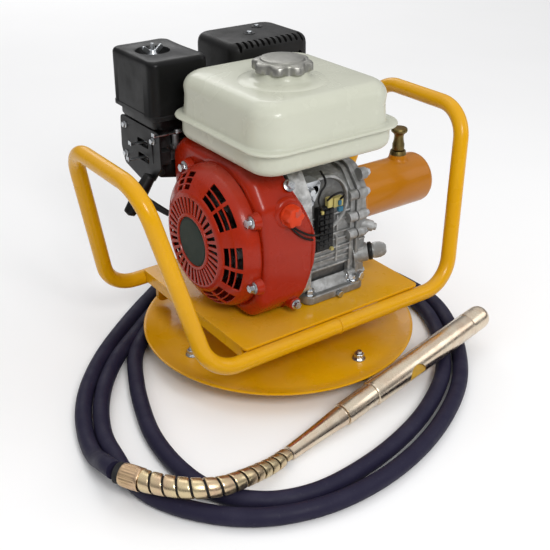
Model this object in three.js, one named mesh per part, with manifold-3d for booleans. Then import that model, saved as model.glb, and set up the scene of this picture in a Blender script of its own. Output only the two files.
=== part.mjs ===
// Petrol concrete vibrator: a small engine in a tubular carrying frame that swivels on a round
// base disc, with a flexible shaft hose and a steel vibrating poker lying round it on the floor.
// Millimetres, +Z up. The origin is the centre of the base disc's underside, +X runs along the
// crankshaft towards the shaft coupling, and +Y points to the cylinder head.
import * as THREE from 'three';
import { mergeVertices } from 'three/addons/utils/BufferGeometryUtils.js';
import Module from 'manifold-3d';

const wasm = await Module();
wasm.setup();

// ---- driving dimensions ----
const GAP = 0.3;                 // clearance between touching pieces
const DISC_R = 200;
const DISC_T = 3;
const FOOT_H = 26;               // rubber feet lift the disc off the floor
const FOOT_R = 16;
const FOOT_CIRCLE = 155;
const FLOOR_Z = -FOOT_H;
const TUBE_R = 11;               // 22 mm frame tube
const RAIL = { x: 204, y: 139.5, z: 61 };
const TOP = { x: 259, y: 91, z: 305 };
const BEND_R = 52;
const PLATE = { x: 150, y: 136, t: 4 };
const PLATE_TOP = RAIL.z + TUBE_R + GAP + PLATE.t;
const CRANK_Y = -18;             // crank axis in the frame
const CRANK_H = 106;             // crank axis above the engine's feet
const CRANK_Z = PLATE_TOP + GAP + CRANK_H;
const TILT = THREE.MathUtils.degToRad(25);   // cylinder axis above the horizontal
const HOSE_R = 11;               // 22 mm flexible shaft hose
const POKER_R = 17.5;            // 35 mm poker

// ---- materials ----
const paint = (color, roughness, metalness) =>
  new THREE.MeshStandardMaterial({ color, roughness, metalness });
const MAT = {
  yellow: paint(0xd29a08, 0.35, 0.1),
  red: paint(0xa3150c, 0.35, 0.1),
  cream: paint(0xcfccba, 0.3, 0.05),
  black: paint(0x111111, 0.5, 0.1),
  castAlu: paint(0x8c8f90, 0.55, 0.8),
  zinc: paint(0xb9bcbd, 0.35, 0.9),
  steel: paint(0x77797a, 0.35, 0.9),
  brass: paint(0x7d6b3a, 0.4, 0.8),
  gold: paint(0xbca071, 0.3, 0.85),
  rubber: paint(0x26232f, 0.75, 0),
  disc: paint(0x1d2420, 0.6, 0),
  foam: paint(0x5c5a50, 0.9, 0),
};

// ---- solids ----
// Welds a geometry's vertices, drops its empty triangles and turns its faces outwards.
function weld(geometry) {
  const bare = geometry.clone();
  bare.deleteAttribute('normal');
  bare.deleteAttribute('uv');
  const merged = mergeVertices(bare, 1e-4);
  const position = merged.attributes.position;
  const source = merged.index.array;
  const index = [];
  const a = new THREE.Vector3();
  const b = new THREE.Vector3();
  const c = new THREE.Vector3();
  let volume = 0;
  for (let i = 0; i < source.length; i += 3) {
    const [p, q, r] = [source[i], source[i + 1], source[i + 2]];
    if (p === q || q === r || r === p) continue;
    index.push(p, q, r);
    a.fromBufferAttribute(position, p);
    b.fromBufferAttribute(position, q);
    c.fromBufferAttribute(position, r);
    volume += a.dot(b.cross(c));
  }
  if (volume < 0) index.reverse();
  merged.setIndex(index);
  return merged;
}

function toManifold(geometry) {
  const g = weld(geometry);
  return new wasm.Manifold(new wasm.Mesh({
    numProp: 3,
    vertProperties: Float32Array.from(g.attributes.position.array),
    triVerts: Uint32Array.from(g.index.array),
  }));
}

function fromManifold(manifold) {
  const { vertProperties, triVerts } = manifold.getMesh();
  const g = new THREE.BufferGeometry();
  g.setAttribute('position', new THREE.BufferAttribute(Float32Array.from(vertProperties), 3));
  g.setIndex(Array.from(triVerts));
  return g;
}

const join = (first, ...rest) =>
  fromManifold(rest.reduce((body, g) => body.add(toManifold(g)), toManifold(first)));
const cut = (first, ...rest) =>
  fromManifold(rest.reduce((body, g) => body.subtract(toManifold(g)), toManifold(first)));
const keep = (first, other) => fromManifold(toManifold(first).intersect(toManifold(other)));

// A box from its lowest and highest corners.
function block(x0, x1, y0, y1, z0, z1) {
  return new THREE.BoxGeometry(x1 - x0, y1 - y0, z1 - z0)
    .translate((x0 + x1) / 2, (y0 + y1) / 2, (z0 + z1) / 2);
}

// A round bar between two points.
function bar(from, to, radius, sides = 24, endRadius = radius) {
  const a = new THREE.Vector3(...from);
  const b = new THREE.Vector3(...to);
  const along = b.clone().sub(a);
  const up = new THREE.Vector3(0, 1, 0);
  const turn = new THREE.Quaternion().setFromUnitVectors(up, along.clone().normalize());
  return new THREE.CylinderGeometry(endRadius, radius, along.length(), sides)
    .applyQuaternion(turn)
    .translate(...a.add(b).multiplyScalar(0.5).toArray());
}

// Turned solids: each profile is a list of [radius, height] along the named axis.
const turned = (profile, sides) =>
  new THREE.LatheGeometry(profile.map(([r, h]) => new THREE.Vector2(r, h)), sides);
const turnedZ = (profile, sides = 32) => turned(profile, sides).rotateX(Math.PI / 2);
const turnedX = (profile, sides = 32) => turned(profile, sides).rotateZ(-Math.PI / 2);

// A closed outline with every corner rounded by the same radius.
function roundedOutline(points, radius) {
  const shape = new THREE.Shape();
  const n = points.length;
  for (let i = 0; i < n; i += 1) {
    const here = new THREE.Vector2(...points[i]);
    const before = new THREE.Vector2(...points[(i + n - 1) % n]).sub(here);
    const after = new THREE.Vector2(...points[(i + 1) % n]).sub(here);
    const cosine = before.dot(after) / before.length() / after.length();
    const half = Math.acos(THREE.MathUtils.clamp(cosine, -1, 1)) / 2;
    const reach = Math.min(radius / Math.tan(half), before.length() * 0.45, after.length() * 0.45);
    const start = before.setLength(reach).add(here);
    const end = after.setLength(reach).add(here);
    if (i === 0) shape.moveTo(start.x, start.y);
    else shape.lineTo(start.x, start.y);
    shape.quadraticCurveTo(here.x, here.y, end.x, end.y);
  }
  shape.closePath();
  return shape;
}

const rectangle = (a0, a1, b0, b1) => [[a0, b0], [a1, b0], [a1, b1], [a0, b1]];

// An outline in (y, z) pushed along X, and an outline in (x, y) pushed along Z.
function alongX(points, radius, x0, x1, curveSegments = 3) {
  const g = new THREE.ExtrudeGeometry(roundedOutline(points, radius),
    { depth: x1 - x0, bevelEnabled: false, curveSegments });
  const cycle = new THREE.Matrix4().set(0, 0, 1, x0, 1, 0, 0, 0, 0, 1, 0, 0, 0, 0, 0, 1);
  return g.applyMatrix4(cycle);
}

function alongZ(points, radius, z0, z1, curveSegments = 3) {
  return new THREE.ExtrudeGeometry(roundedOutline(points, radius),
    { depth: z1 - z0, bevelEnabled: false, curveSegments }).translate(0, 0, z0);
}

// A block with rounded upright corners and rounded top and bottom edges.
function pillow(x0, x1, y0, y1, z0, z1, corner, edge, segments = 3) {
  const outline = roundedOutline(rectangle(x0 + edge, x1 - edge, y0 + edge, y1 - edge), corner - edge);
  return new THREE.ExtrudeGeometry(outline, {
    depth: z1 - z0 - 2 * edge, bevelThickness: edge, bevelSize: edge, bevelSegments: segments,
    curveSegments: segments,
  }).translate(0, 0, z0 + edge);
}

// A path of straight runs joined by round bends.
function bentPath(corners, radius) {
  const points = corners.map((p) => new THREE.Vector3(...p));
  const path = new THREE.CurvePath();
  let from = points[0];
  for (let i = 1; i < points.length - 1; i += 1) {
    const back = points[i - 1].clone().sub(points[i]).normalize();
    const on = points[i + 1].clone().sub(points[i]).normalize();
    const turn = Math.PI - back.angleTo(on);
    const reach = radius * Math.tan(turn / 2);
    const handle = reach - radius * Math.tan(turn / 4) * 4 / 3;
    const start = points[i].clone().addScaledVector(back, reach);
    const end = points[i].clone().addScaledVector(on, reach);
    path.add(new THREE.LineCurve3(from, start));
    path.add(new THREE.CubicBezierCurve3(start, points[i].clone().addScaledVector(back, handle),
      points[i].clone().addScaledVector(on, handle), end));
    from = end;
  }
  path.add(new THREE.LineCurve3(from, points[points.length - 1]));
  return path;
}

function circle(radius, sides) {
  const points = [];
  for (let i = 0; i < sides; i += 1) {
    const angle = (2 * Math.PI * i) / sides;
    points.push(new THREE.Vector2(radius * Math.cos(angle), radius * Math.sin(angle)));
  }
  return new THREE.Shape(points);
}

// A tube that follows a path.
const tubeAlong = (path, radius, sides, steps) =>
  new THREE.ExtrudeGeometry(circle(radius, sides), { extrudePath: path, steps, bevelEnabled: false });

// A tube whose radius shrinks evenly from one end of its path to the other.
function taperedTube(path, startRadius, endRadius, sides, steps) {
  const g = tubeAlong(path, startRadius, sides, steps);
  const centres = path.getSpacedPoints(steps);
  const position = g.attributes.position;
  const point = new THREE.Vector3();
  const ringOf = (p) => {
    const misses = centres.map((c) => Math.abs(c.distanceTo(p) - startRadius));
    return misses.indexOf(Math.min(...misses));
  };
  for (let i = 0; i < position.count; i += 1) {
    point.fromBufferAttribute(position, i);
    const ring = ringOf(point);
    const share = 1 - (ring / steps) * (1 - endRadius / startRadius);
    point.sub(centres[ring]).multiplyScalar(share).add(centres[ring]);
    position.setXYZ(i, point.x, point.y, point.z);
  }
  return g;
}

// ---- the scene graph ----
const vibrator = new THREE.Group();
const chassis = new THREE.Group();
const engine = new THREE.Group();
engine.position.set(0, CRANK_Y, CRANK_Z);
vibrator.add(chassis, engine);

function add(group, name, geometry, material) {
  const closed = weld(geometry).toNonIndexed();
  closed.computeVertexNormals();
  const mesh = new THREE.Mesh(closed, material);
  mesh.name = name;
  group.add(mesh);
  return mesh;
}

// ---- base disc, feet and swivel ----
function buildBase() {
  const disc = turnedZ([[0, 0], [DISC_R - 22, 0], [DISC_R - 2, 4], [DISC_R, 6.5], [DISC_R - 2, 8],
    [DISC_R - 23, DISC_T], [0, DISC_T]], 48);
  const holes = [];
  // rubber pad below the disc, stud through it, then washer and nut on top
  const footProfile = [[0, FLOOR_Z], [FOOT_R - 2, FLOOR_Z], [FOOT_R, FLOOR_Z + 2], [FOOT_R, -GAP],
    [4, -GAP], [4, DISC_T + GAP], [11, DISC_T + GAP], [11, 5], [7, 5], [7, 13], [4, 13], [4, 18], [0, 18]];
  const names = ['foot_left', 'foot_front', 'foot_right', 'foot_rear'];
  const footAngles = [-177, -79, 3, 101];
  names.forEach((name, i) => {
    const angle = THREE.MathUtils.degToRad(footAngles[i]);
    const [x, y] = [FOOT_CIRCLE * Math.cos(angle), FOOT_CIRCLE * Math.sin(angle)];
    holes.push(bar([x, y, -1], [x, y, DISC_T + 1], 4 + GAP, 12));
    const foot = turnedZ(footProfile, 16);
    add(chassis, name, foot.translate(x, y, 0), MAT.rubber);
  });
  add(chassis, 'base_disc', cut(disc, ...holes), MAT.yellow);
  const postProfile = [[0, DISC_T + GAP], [50, DISC_T + GAP], [50, 8], [24, 9.5], [14, 9.5],
    [14, 62], [12.5, 64], [0, 64]];
  add(chassis, 'swivel_post', turnedZ(postProfile, 32), MAT.steel);
}

// ---- carrying frame ----
function buildFrame() {
  for (const side of [-1, 1]) {
    const corners = [
      [side * GAP / 2, -RAIL.y, RAIL.z],
      [side * RAIL.x, -RAIL.y, RAIL.z],
      [side * TOP.x, -TOP.y, TOP.z],
      [side * TOP.x, TOP.y, TOP.z],
      [side * RAIL.x, RAIL.y, RAIL.z],
      [side * GAP / 2, RAIL.y, RAIL.z],
    ];
    const name = side < 0 ? 'frame_left_half' : 'frame_right_half';
    add(chassis, name, tubeAlong(bentPath(corners, BEND_R), TUBE_R, 10, 50), MAT.yellow);
  }
  const plateOutline = rectangle(-PLATE.x, PLATE.x, -PLATE.y, PLATE.y);
  add(chassis, 'mounting_plate', alongZ(plateOutline, 5, PLATE_TOP - PLATE.t, PLATE_TOP), MAT.yellow);
  const underPlate = PLATE_TOP - PLATE.t - GAP;
  const housingProfile = [[18 + GAP, 12], [30, 12], [30, underPlate - 6], [52, underPlate - 6],
    [52, underPlate], [18 + GAP, underPlate], [18 + GAP, 12]];
  add(chassis, 'swivel_housing', turnedZ(housingProfile, 32), MAT.yellow);
  const bushingProfile = [[14 + GAP, 12], [18, 12], [18, 58], [14 + GAP, 58], [14 + GAP, 12]];
  add(chassis, 'swivel_bushing', turnedZ(bushingProfile, 32), MAT.brass);
  const leg = block(-127, -105, RAIL.y - 4, RAIL.y + 4, 12, RAIL.z - TUBE_R - GAP);
  add(chassis, 'support_leg', leg, MAT.yellow);
}

// ---- engine block; its own frame has the crank axis on X through the origin ----
const CASE = [[-62, -96], [-62, 40], [-40, 66], [33, 76], [79, -24], [88, -60], [88, -96]];
const CASE_IN = [[-54, -88], [-54, 36], [-36, 58], [27, 67], [70, -26], [79, -60], [79, -88]];
const COVER_OUT = [[-68, -98], [-68, 44], [-43, 72], [36, 82], [86, -24], [94, -98]];
const COVER_IN = [[-60, -88], [-60, 38], [-38, 62], [30, 72], [76, -26], [84, -88]];
const CASE_X = [-22, 70];

// A point at a distance along the cylinder axis, in (y, z).
const onCylinder = (along) => [along * Math.cos(TILT), along * Math.sin(TILT)];

// Cylinder pieces are drawn with their axis along Y and then tilted up.
const tilted = (geometry) => geometry.rotateX(TILT);

function buildBlock() {
  const foot = block(-21, 77, -78, 108, -CRANK_H, -CRANK_H + 12);
  const inside = alongX(CASE_IN, 6, CASE_X[0] + 7, CASE_X[1] + 1);
  const shaftHole = bar([CASE_X[0] - 1, 0, 0], [CASE_X[1] + 1, 0, 0], 13);
  const cylinderHole = bar([20, ...onCylinder(40)], [20, ...onCylinder(80)], 34.5);
  const shell = cut(alongX(CASE, 8, ...CASE_X), inside, shaftHole, cylinderHole);
  const pocket = block(CASE_X[1], 78, -90, 120, -CRANK_H + 8, -CRANK_H + 13);
  add(engine, 'crankcase', cut(join(shell, foot), pocket, inside), MAT.castAlu);
  const pad = bar([80, 0, 0], [97, 0, 0], 60, 32);
  const boss = bar([80, -58, -60], [95, -68, -57.5], 13, 16);
  const cover = cut(join(alongX(COVER_OUT, 8, CASE_X[1] + GAP, 90), pad, boss),
    alongX(COVER_IN, 6, CASE_X[1], 83),
    bar([50, 0, 0], [98, 0, 0], 13));
  add(engine, 'crankcase_cover', cover, MAT.castAlu);

  const fins = [];
  for (let i = 0; i < 5; i += 1) {
    const at = 76 + i * 14;
    fins.push(block(-21, 70, at, at + 3, -50, 50));
  }
  const barrel = join(bar([20, 63, 0], [20, 146, 0], 40, 28), ...fins);
  add(engine, 'cylinder', tilted(cut(barrel, bar([20, 60, 0], [20, 150, 0], 34, 28))), MAT.castAlu);
  const headFins = [];
  for (let i = 0; i < 3; i += 1) {
    const at = 152 + i * 11;
    headFins.push(block(-21, 72, at, at + 3, -62, 46));
  }
  const head = join(block(-20, 62, 146 + GAP, 184, -58, 40), ...headFins);
  add(engine, 'cylinder_head', tilted(head), MAT.castAlu);
  add(engine, 'valve_cover', tilted(pillow(-17, 58, 184 + GAP, 206, -38, 34, 12, 5)), MAT.castAlu);
  const piston = cut(bar([20, 92, 0], [20, 130, 0], 33.6, 28), bar([20, 90, 0], [20, 124, 0], 28, 20));
  add(engine, 'piston', tilted(piston), MAT.steel);
}

function buildCrank() {
  const webs = [];
  for (const x of [2, 28]) {
    webs.push(bar([x, 0, 0], [x + 10, 0, 0], 36, 20));
  }
  const shaft = join(turnedX([[0, -98], [10, -98], [12, -58], [12, 98], [0, 98]], 20),
    ...webs,
    bar([48, 0, 0], [56, 0, 0], 15, 20));
  add(engine, 'crankshaft', shaft, MAT.steel);
  const camGear = bar([48, 0, -50], [56, 0, -50], 32, 28);
  const camLobe = bar([-12, 0, -47], [-4, 0, -47], 9, 16);
  add(engine, 'camshaft', join(bar([-14, 0, -50], [58, 0, -50], 6, 16), camGear, camLobe), MAT.steel);
  const blades = [];
  for (let i = 0; i < 12; i += 1) {
    blades.push(block(-84, -69, -1.5, 1.5, 48, 78).rotateX((2 * Math.PI * i) / 12));
  }
  const wheel = turnedX([[12.5 + GAP, -90], [30, -90], [30, -72], [84, -72], [84, -50], [76, -50], [74, -60],
    [24, -60], [12.5 + GAP, -60], [12.5 + GAP, -90]], 24);
  add(engine, 'flywheel', join(wheel, ...blades), MAT.castAlu);
}

// ---- cooling shroud and recoil starter ----
const SHROUD = [[-60, -104], [-92, -74], [-96, 0], [-90, 62], [-66, 96], [-38, 106], [100, 106], [124, 86],
  [124, -10], [104, -56], [52, -104]];
const SHROUD_X = [-108, -22 - GAP];

// Pulls every point of an outline towards its middle.
function shrink(points, wall) {
  return points.map(([a, b]) => {
    const far = Math.hypot(a, b);
    return [a * (1 - wall / far), b * (1 - wall / far)];
  });
}

function buildShroud() {
  const outside = alongX(SHROUD, 22, ...SHROUD_X, 4);
  const inside = alongX(shrink(SHROUD, 4.5), 18, SHROUD_X[0] + 3, 0, 4);
  const fanHole = bar([-120, 0, 0], [-100, 0, 0], 80, 32);
  add(engine, 'blower_cover', cut(outside, inside, fanHole), MAT.red);

  const housing = turnedX([[98, -108 - GAP], [97, -122], [88, -135], [70, -146], [66, -150], [34, -152],
    [34, -149.5], [64, -147.5], [68, -143.5], [86, -132.5], [94.5, -120.5], [95.5, -108 - GAP],
    [98, -108 - GAP]], 36);
  const slots = [];
  for (let i = 0; i < 18; i += 1) {
    slots.push(block(-160, -140, -2.2, 2.2, 40, 61).rotateX((2 * Math.PI * i) / 18));
  }
  for (let i = 0; i < 8; i += 1) {
    for (const r of [74, 84]) {
      slots.push(block(-160, -110, -8, 8, r - 2.2, r + 2.2).rotateX((2 * Math.PI * i) / 8 + 0.3));
    }
  }
  add(engine, 'recoil_housing', cut(housing, ...slots), MAT.red);
  const centreDisc = turnedX([[0, -152.5], [31, -152.5], [33.5, -151.5], [33.5, -148], [9, -148],
    [9, -122], [0, -122]], 28);
  add(engine, 'starter_centre_disc', centreDisc, MAT.disc);
  const pulley = turnedX([[9.5, -145], [60, -145], [60, -142], [38, -139], [38, -133], [60, -130],
    [60, -127], [9.5, -127], [9.5, -145]], 24);
  add(engine, 'recoil_pulley', pulley, MAT.black);
  add(engine, 'starter_cup', turnedX([[0, -109], [34, -109], [34, -121], [36, -121], [36, -104], [20, -100],
    [20, -98 - GAP], [0, -98 - GAP]], 24), MAT.steel);
  const stem = bar([-130, 99.5, -2], [-149, 138, 14], 4.5, 12);
  const grip = bar([-180, 138, -11], [-118, 138, 40], 8, 14);
  add(engine, 'pull_handle', join(stem, grip), MAT.black);
  const knob = turnedX([[0, 0], [13, 0], [13, 7], [9, 15], [0, 15]], 16).rotateZ(-Math.PI / 2);
  add(engine, 'stop_switch_knob', knob.translate(-63, -94, 50), MAT.red);
}

// ---- fuel tank ----
function buildTank() {
  const flange = alongZ(rectangle(-122, 108, -120, 108), 34, 141, 144, 4);
  const upperHalf = block(-130, 120, -130, 120, 143, 210);
  const lowerHalf = block(-130, 120, -130, 120, 100, 142);
  const upper = keep(pillow(-114, 96, -114, 102, 90, 202, 40, 24, 3), upperHalf);
  const lower = keep(pillow(-115, 101, -113, 101, 110, 180, 34, 14, 3), lowerHalf);
  const inside = pillow(-110, 92, -110, 98, 114, 199, 34, 20, 2);
  const neckProfile = [[0, 190], [40, 198], [33, 205], [31, 213.7], [25, 213.7], [25, 219], [0, 219]];
  const neck = turnedZ(neckProfile, 28).translate(-23, -22, 0);
  const bore = bar([-23, -22, 180], [-23, -22, 230], 21);
  add(engine, 'fuel_tank', cut(join(lower, flange, upper, neck), inside, bore), MAT.cream);
  const lobes = [];
  for (let i = 0; i < 8; i += 1) {
    const angle = (2 * Math.PI * i) / 8;
    const [x, y] = [30 * Math.cos(angle), 30 * Math.sin(angle)];
    lobes.push(bar([x, y, 0], [x, y, 9], 9, 12));
  }
  const hollow = turnedZ([[0, -1], [26, -1], [26, 6], [0, 6]], 24);
  const cap = cut(join(turnedZ([[0, 0], [34, 0], [34, 10], [28, 14], [0, 14]], 32), ...lobes), hollow);
  add(engine, 'filler_cap', cap.translate(-23, -22, 214), MAT.zinc);
}

// ---- air cleaner, carburettor and muffler ----
function buildIntake() {
  const tray = alongZ(rectangle(-132, -52, 118, 226), 12, 112, 127);
  add(engine, 'air_cleaner_base', join(tray, block(-122, -76, 126, 190, 92, 113)), MAT.black);
  const coverOut = pillow(-138, -46, 112, 234, 80, 208, 14, 8);
  const coverIn = alongZ(rectangle(-133, -51, 117, 229), 12, 100, 192);
  const dish = turnedZ([[0, 198], [20, 198], [22, 216], [0, 216]], 24).translate(-99, 176, 0);
  const aboveTray = block(-150, -40, 100, 240, 127 + GAP, 215);
  const nutHole = bar([-99, 176, 180], [-99, 176, 210], 4);
  add(engine, 'air_cleaner_cover', cut(keep(coverOut, aboveTray), coverIn, dish, nutHole), MAT.black);
  const foamOut = alongZ(rectangle(-128, -70, 122, 222), 12, 127 + GAP, 184);
  const foamIn = alongZ(rectangle(-112, -86, 140, 204), 8, 120, 170);
  add(engine, 'air_filter', cut(foamOut, foamIn), MAT.foam);
  const nutBody = turnedZ([[0, 199], [8, 199], [6, 208], [0, 208]], 16);
  const wingNut = join(nutBody, block(-14, 14, -1.5, 1.5, 203, 214), bar([0, 0, 200], [0, 0, 219], 3, 12));
  add(engine, 'wing_nut', wingNut.translate(-99, 176, 0), MAT.zinc);
  const chokeEar = block(-126, -111, 160, 176, 76, 82);
  const fuelEar = block(-126, -111, 160, 176, 54, 60);
  const throat = block(-112, -66, 130, 186, 62, 92 - GAP);
  const fuelBlock = block(-112, -90, 156, 180, 48, 66);
  const bowl = bar([-88, 158, 40], [-88, 158, 64], 19, 20);
  add(engine, 'carburettor', join(throat, fuelBlock, bowl, chokeEar, fuelEar), MAT.castAlu);
  const lever = (x, y, z, reach) => join(bar([x, y, z], [x, y, z + 5], 6, 12),
    block(x - reach, x, y - 3, y + 3, z, z + 2));
  add(engine, 'choke_lever', lever(-120, 168, 82 + GAP, 28), MAT.zinc);
  add(engine, 'fuel_lever', lever(-120, 168, 60 + GAP, 33), MAT.zinc);
  add(engine, 'throttle_lever', lever(-100, 116.5, 106.5, 38), MAT.zinc);
  add(engine, 'muffler', pillow(10, 120, 128, 216, 130, 190, 22, 12), MAT.steel);
  const guard = keep(pillow(-4, 132, 118, 230, 60, 210, 20, 12), block(-20, 150, 100, 250, 128, 220));
  const slots = [];
  for (let i = 0; i < 9; i += 1) {
    slots.push(block(8 + i * 12.5, 14 + i * 12.5, 110, 134, 160, 190));
  }
  const inside = alongZ(rectangle(0, 128, 122, 226), 16, 120, 204);
  add(engine, 'muffler_guard', cut(guard, inside, ...slots), MAT.black);
}

// ---- electrics and small engine parts ----
function buildSmallParts() {
  add(engine, 'oil_alert_box', block(0, 24, -74, -62 - GAP, -24, 34), MAT.black);
  add(engine, 'ignition_coil', block(-84, -54, -16, 16, 85, 98), MAT.black);
  const plugBody = bar([20, 184 + GAP, -50], [20, 202, -50], 7, 12);
  const plugCap = bar([20, 200, -50], [20, 228, -50], 9, 12);
  add(engine, 'spark_plug', tilted(join(plugBody, plugCap)), MAT.black);
  const axis = new THREE.Vector3(24, -16, 4).normalize();
  const at = (d) => [95 + axis.x * d, -68 + axis.y * d, -57.5 + axis.z * d];
  const wing = block(0, 15, -2, 2, -9, 9).rotateZ(Math.atan2(axis.y, axis.x));
  add(engine, 'dipstick', join(bar(at(GAP), at(8), 12, 16), wing.translate(...at(7.5))), MAT.zinc);
}

// ---- coupling housing, drive dog and lock pin ----
const LOCK_X = 206;

function buildCoupling() {
  const tube = turnedX([[16, 97 + GAP], [54, 97 + GAP], [54, 105], [38, 105], [38, 243], [33, 249], [22, 249],
    [22, 150], [26, 148], [26, 108], [16, 106], [16, 97 + GAP]], 32);
  const boss = bar([LOCK_X, 0, 30], [LOCK_X, 0, 50], 13, 20);
  const mouth = bar([140, 0, 0], [255, 0, 0], 21, 32);
  const pinHole = bar([LOCK_X, 0, 15], [LOCK_X, 0, 52], 6 + GAP, 16);
  const springRoom = bar([LOCK_X, 0, 30], [LOCK_X, 0, 45.5], 9.8, 16);
  add(engine, 'coupling_housing', cut(join(tube, boss), mouth, pinHole, springRoom), MAT.yellow);
  const bearing = turnedX([[15, 110], [25.5, 110], [25.5, 126], [15, 126], [15, 110]], 24);
  add(engine, 'coupling_bearing', bearing, MAT.steel);
  const dog = turnedX([[0, 98 + GAP], [14.6, 98 + GAP], [14.6, 140], [0, 140]], 24);
  add(engine, 'drive_dog', cut(dog, block(128, 141, -16, 16, -4, 4)), MAT.steel);
  // the collar at 31 to 34 stops the pin; the spring pushes on it from above
  const pin = turnedZ([[0, 23], [5.5, 23], [6, 24], [6, 31], [9.4, 31], [9.4, 34], [6, 34], [6, 50.4],
    [8.5, 50.4], [8.5, 62], [7, 74], [12, 79], [12, 84], [0, 85]], 16);
  add(engine, 'lock_pin', pin.translate(LOCK_X, 0, 0), MAT.brass);
  const spring = turnedZ([[6.5, 34 + GAP], [9.2, 34 + GAP], [9.2, 45.2], [6.5, 45.2], [6.5, 34 + GAP]], 16);
  add(engine, 'lock_spring', spring.translate(LOCK_X, 0, 0), MAT.steel);
}

// ---- hose on the floor ----
const LIE = FLOOR_Z + HOSE_R + GAP;     // centre height of a hose on the floor
const HOSE_ROUTE = [
  // from the ferrule, over the strand below it, and down to the floor
  [-361, -178, 12], [-362, -160, 8], [-360, -137, -2], [-357, -112, -12], [-352, -84, LIE],
  // outer ring, behind the disc
  [-337, -38, LIE], [-316, 4, LIE], [-287, 45, LIE], [-246, 90, LIE], [-190, 139, LIE], [-118, 194, LIE],
  [-60, 231, LIE], [10, 248, LIE], [85, 236, LIE], [155, 196, LIE], [215, 130, LIE], [246, 55, LIE],
  [255, -15, LIE],
  // outer ring, in front of the disc
  [248, -81, LIE], [220.5, -140.5, LIE], [180, -199, LIE], [125, -255, LIE], [58, -298, LIE],
  [-19, -330, LIE],
  [-99, -346, LIE], [-173, -344, LIE], [-232, -326, LIE], [-270, -302, LIE], [-302, -269, LIE],
  [-323, -237, LIE], [-336, -204, LIE], [-340, -164, LIE], [-336, -128, LIE], [-330, -87, LIE],
  [-316, -47, LIE], [-296, -8, LIE], [-270, 30, LIE], [-231, 73, LIE], [-178, 116, LIE], [-105, 172, LIE],
  // middle ring
  [-50, 207, LIE], [12, 222, LIE], [78, 211, LIE], [140, 175, LIE], [193, 117, LIE], [222, 50, LIE],
  [230, -12, LIE], [225, -72, LIE], [205, -120.5, LIE], [170, -173, LIE], [122, -226, LIE], [60, -267, LIE],
  [-10, -297, LIE], [-92, -316, LIE], [-169, -319, LIE], [-217, -305, LIE], [-245, -285, LIE],
  [-265, -261, LIE], [-277, -233, LIE], [-283, -196, LIE], [-283, -155, LIE], [-277, -110, LIE],
  [-263, -61, LIE], [-242, -5, LIE], [-208, 62, LIE], [-162, 112, LIE], [-116, 150, LIE], [-76, 175, LIE],
  // straight into the shaft connector
  [-44, 187, LIE], [-12, 190, LIE],
];
const CONNECTOR_TURN = -0.04;

const curveThrough = (points) =>
  new THREE.CatmullRomCurve3(points.map((p) => new THREE.Vector3(...p)), false, 'centripetal');

function buildHose() {
  add(vibrator, 'hose', tubeAlong(curveThrough(HOSE_ROUTE), HOSE_R, 8, 80), MAT.rubber);
  const connector = turnedX([[0, 0], [10.8, 0], [10.8, 46], [8, 50], [8, 74], [5, 78], [0, 78]], 20);
  add(vibrator, 'hose_connector', connector.rotateZ(CONNECTOR_TURN).translate(-10, 190, LIE), MAT.gold);
}

// ---- poker: turned pieces on one straight axis, and a curved spiral guard behind them ----
const POKER_START = new THREE.Vector3(-158, -243, -16.2);
const POKER_END = new THREE.Vector3(233, -191, 24);
const POKER_L = POKER_START.distanceTo(POKER_END);

function buildPoker() {
  const poker = new THREE.Group();
  poker.position.copy(POKER_START);
  const direction = POKER_END.clone().sub(POKER_START).normalize();
  poker.quaternion.setFromUnitVectors(new THREE.Vector3(1, 0, 0), direction);
  vibrator.add(poker);
  const shank = turnedX([[0, 0], [9.7, 0], [10.6, 30], [13.6, 92], [13.6, 96], [0, 96]], 28);
  add(poker, 'poker_shank', shank, MAT.gold);
  const tubeEnd = POKER_L - 40;
  add(poker, 'poker_tube', turnedX([[13.5, 96 + GAP], [15.5, 96 + GAP], [15.5, 150], [POKER_R, 156],
    [POKER_R, tubeEnd], [13.5, tubeEnd], [13.5, 96 + GAP]], 32), MAT.gold);
  add(poker, 'poker_cap', turnedX([[0, tubeEnd + GAP], [POKER_R, tubeEnd + GAP], [POKER_R, POKER_L - 10],
    [POKER_R - 3, POKER_L - 4], [POKER_R - 9, POKER_L], [0, POKER_L]], 32), MAT.gold);
  const bearing = turnedX([[6 + GAP, 100], [13.2, 100], [13.2, 114], [6 + GAP, 114], [6 + GAP, 100]], 24);
  add(poker, 'rotor_bearing', bearing, MAT.steel);
  // a shaft with a half-round weight that throws it off balance
  const halfWeight = cut(bar([120, 0, 0], [tubeEnd - 12, 0, 0], 12.5, 20),
    block(110, tubeEnd, -15, 15, 1, 16));
  const rotor = join(bar([98, 0, 0], [tubeEnd - 4, 0, 0], 6, 16), halfWeight);
  add(poker, 'eccentric_rotor', rotor, MAT.steel);

  const guardPath = curveThrough([[-346.7, -206.8, 12.7], [-336, -223.8, 13], [-318, -246, 13.5],
    [-297, -263, 13], [-271, -272, 10.5], [-243, -271, 6.4], [-212, -262, -3.6], [-186, -253.2, -11],
    [-161.9, -243.5, -15.9]]);
  add(vibrator, 'spiral_guard', taperedTube(guardPath, 13, 9.6, 12, 24), MAT.gold);
  add(vibrator, 'ferrule', bar([-359.5, -183.5, 12], [-347.2, -205.9, 12.6], 13.5, 20), MAT.gold);
}

buildBase();
buildFrame();
buildBlock();
buildCrank();
buildShroud();
buildTank();
buildIntake();
buildSmallParts();
buildCoupling();
buildHose();
buildPoker();

export default vibrator;
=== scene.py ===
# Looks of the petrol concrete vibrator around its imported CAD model. Lengths are in millimetres
# until piece() turns them into metres. Engine pieces are drawn about the crank axis.
import math
import random
import bmesh
import bpy
from mathutils import Matrix, Vector, noise


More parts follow.
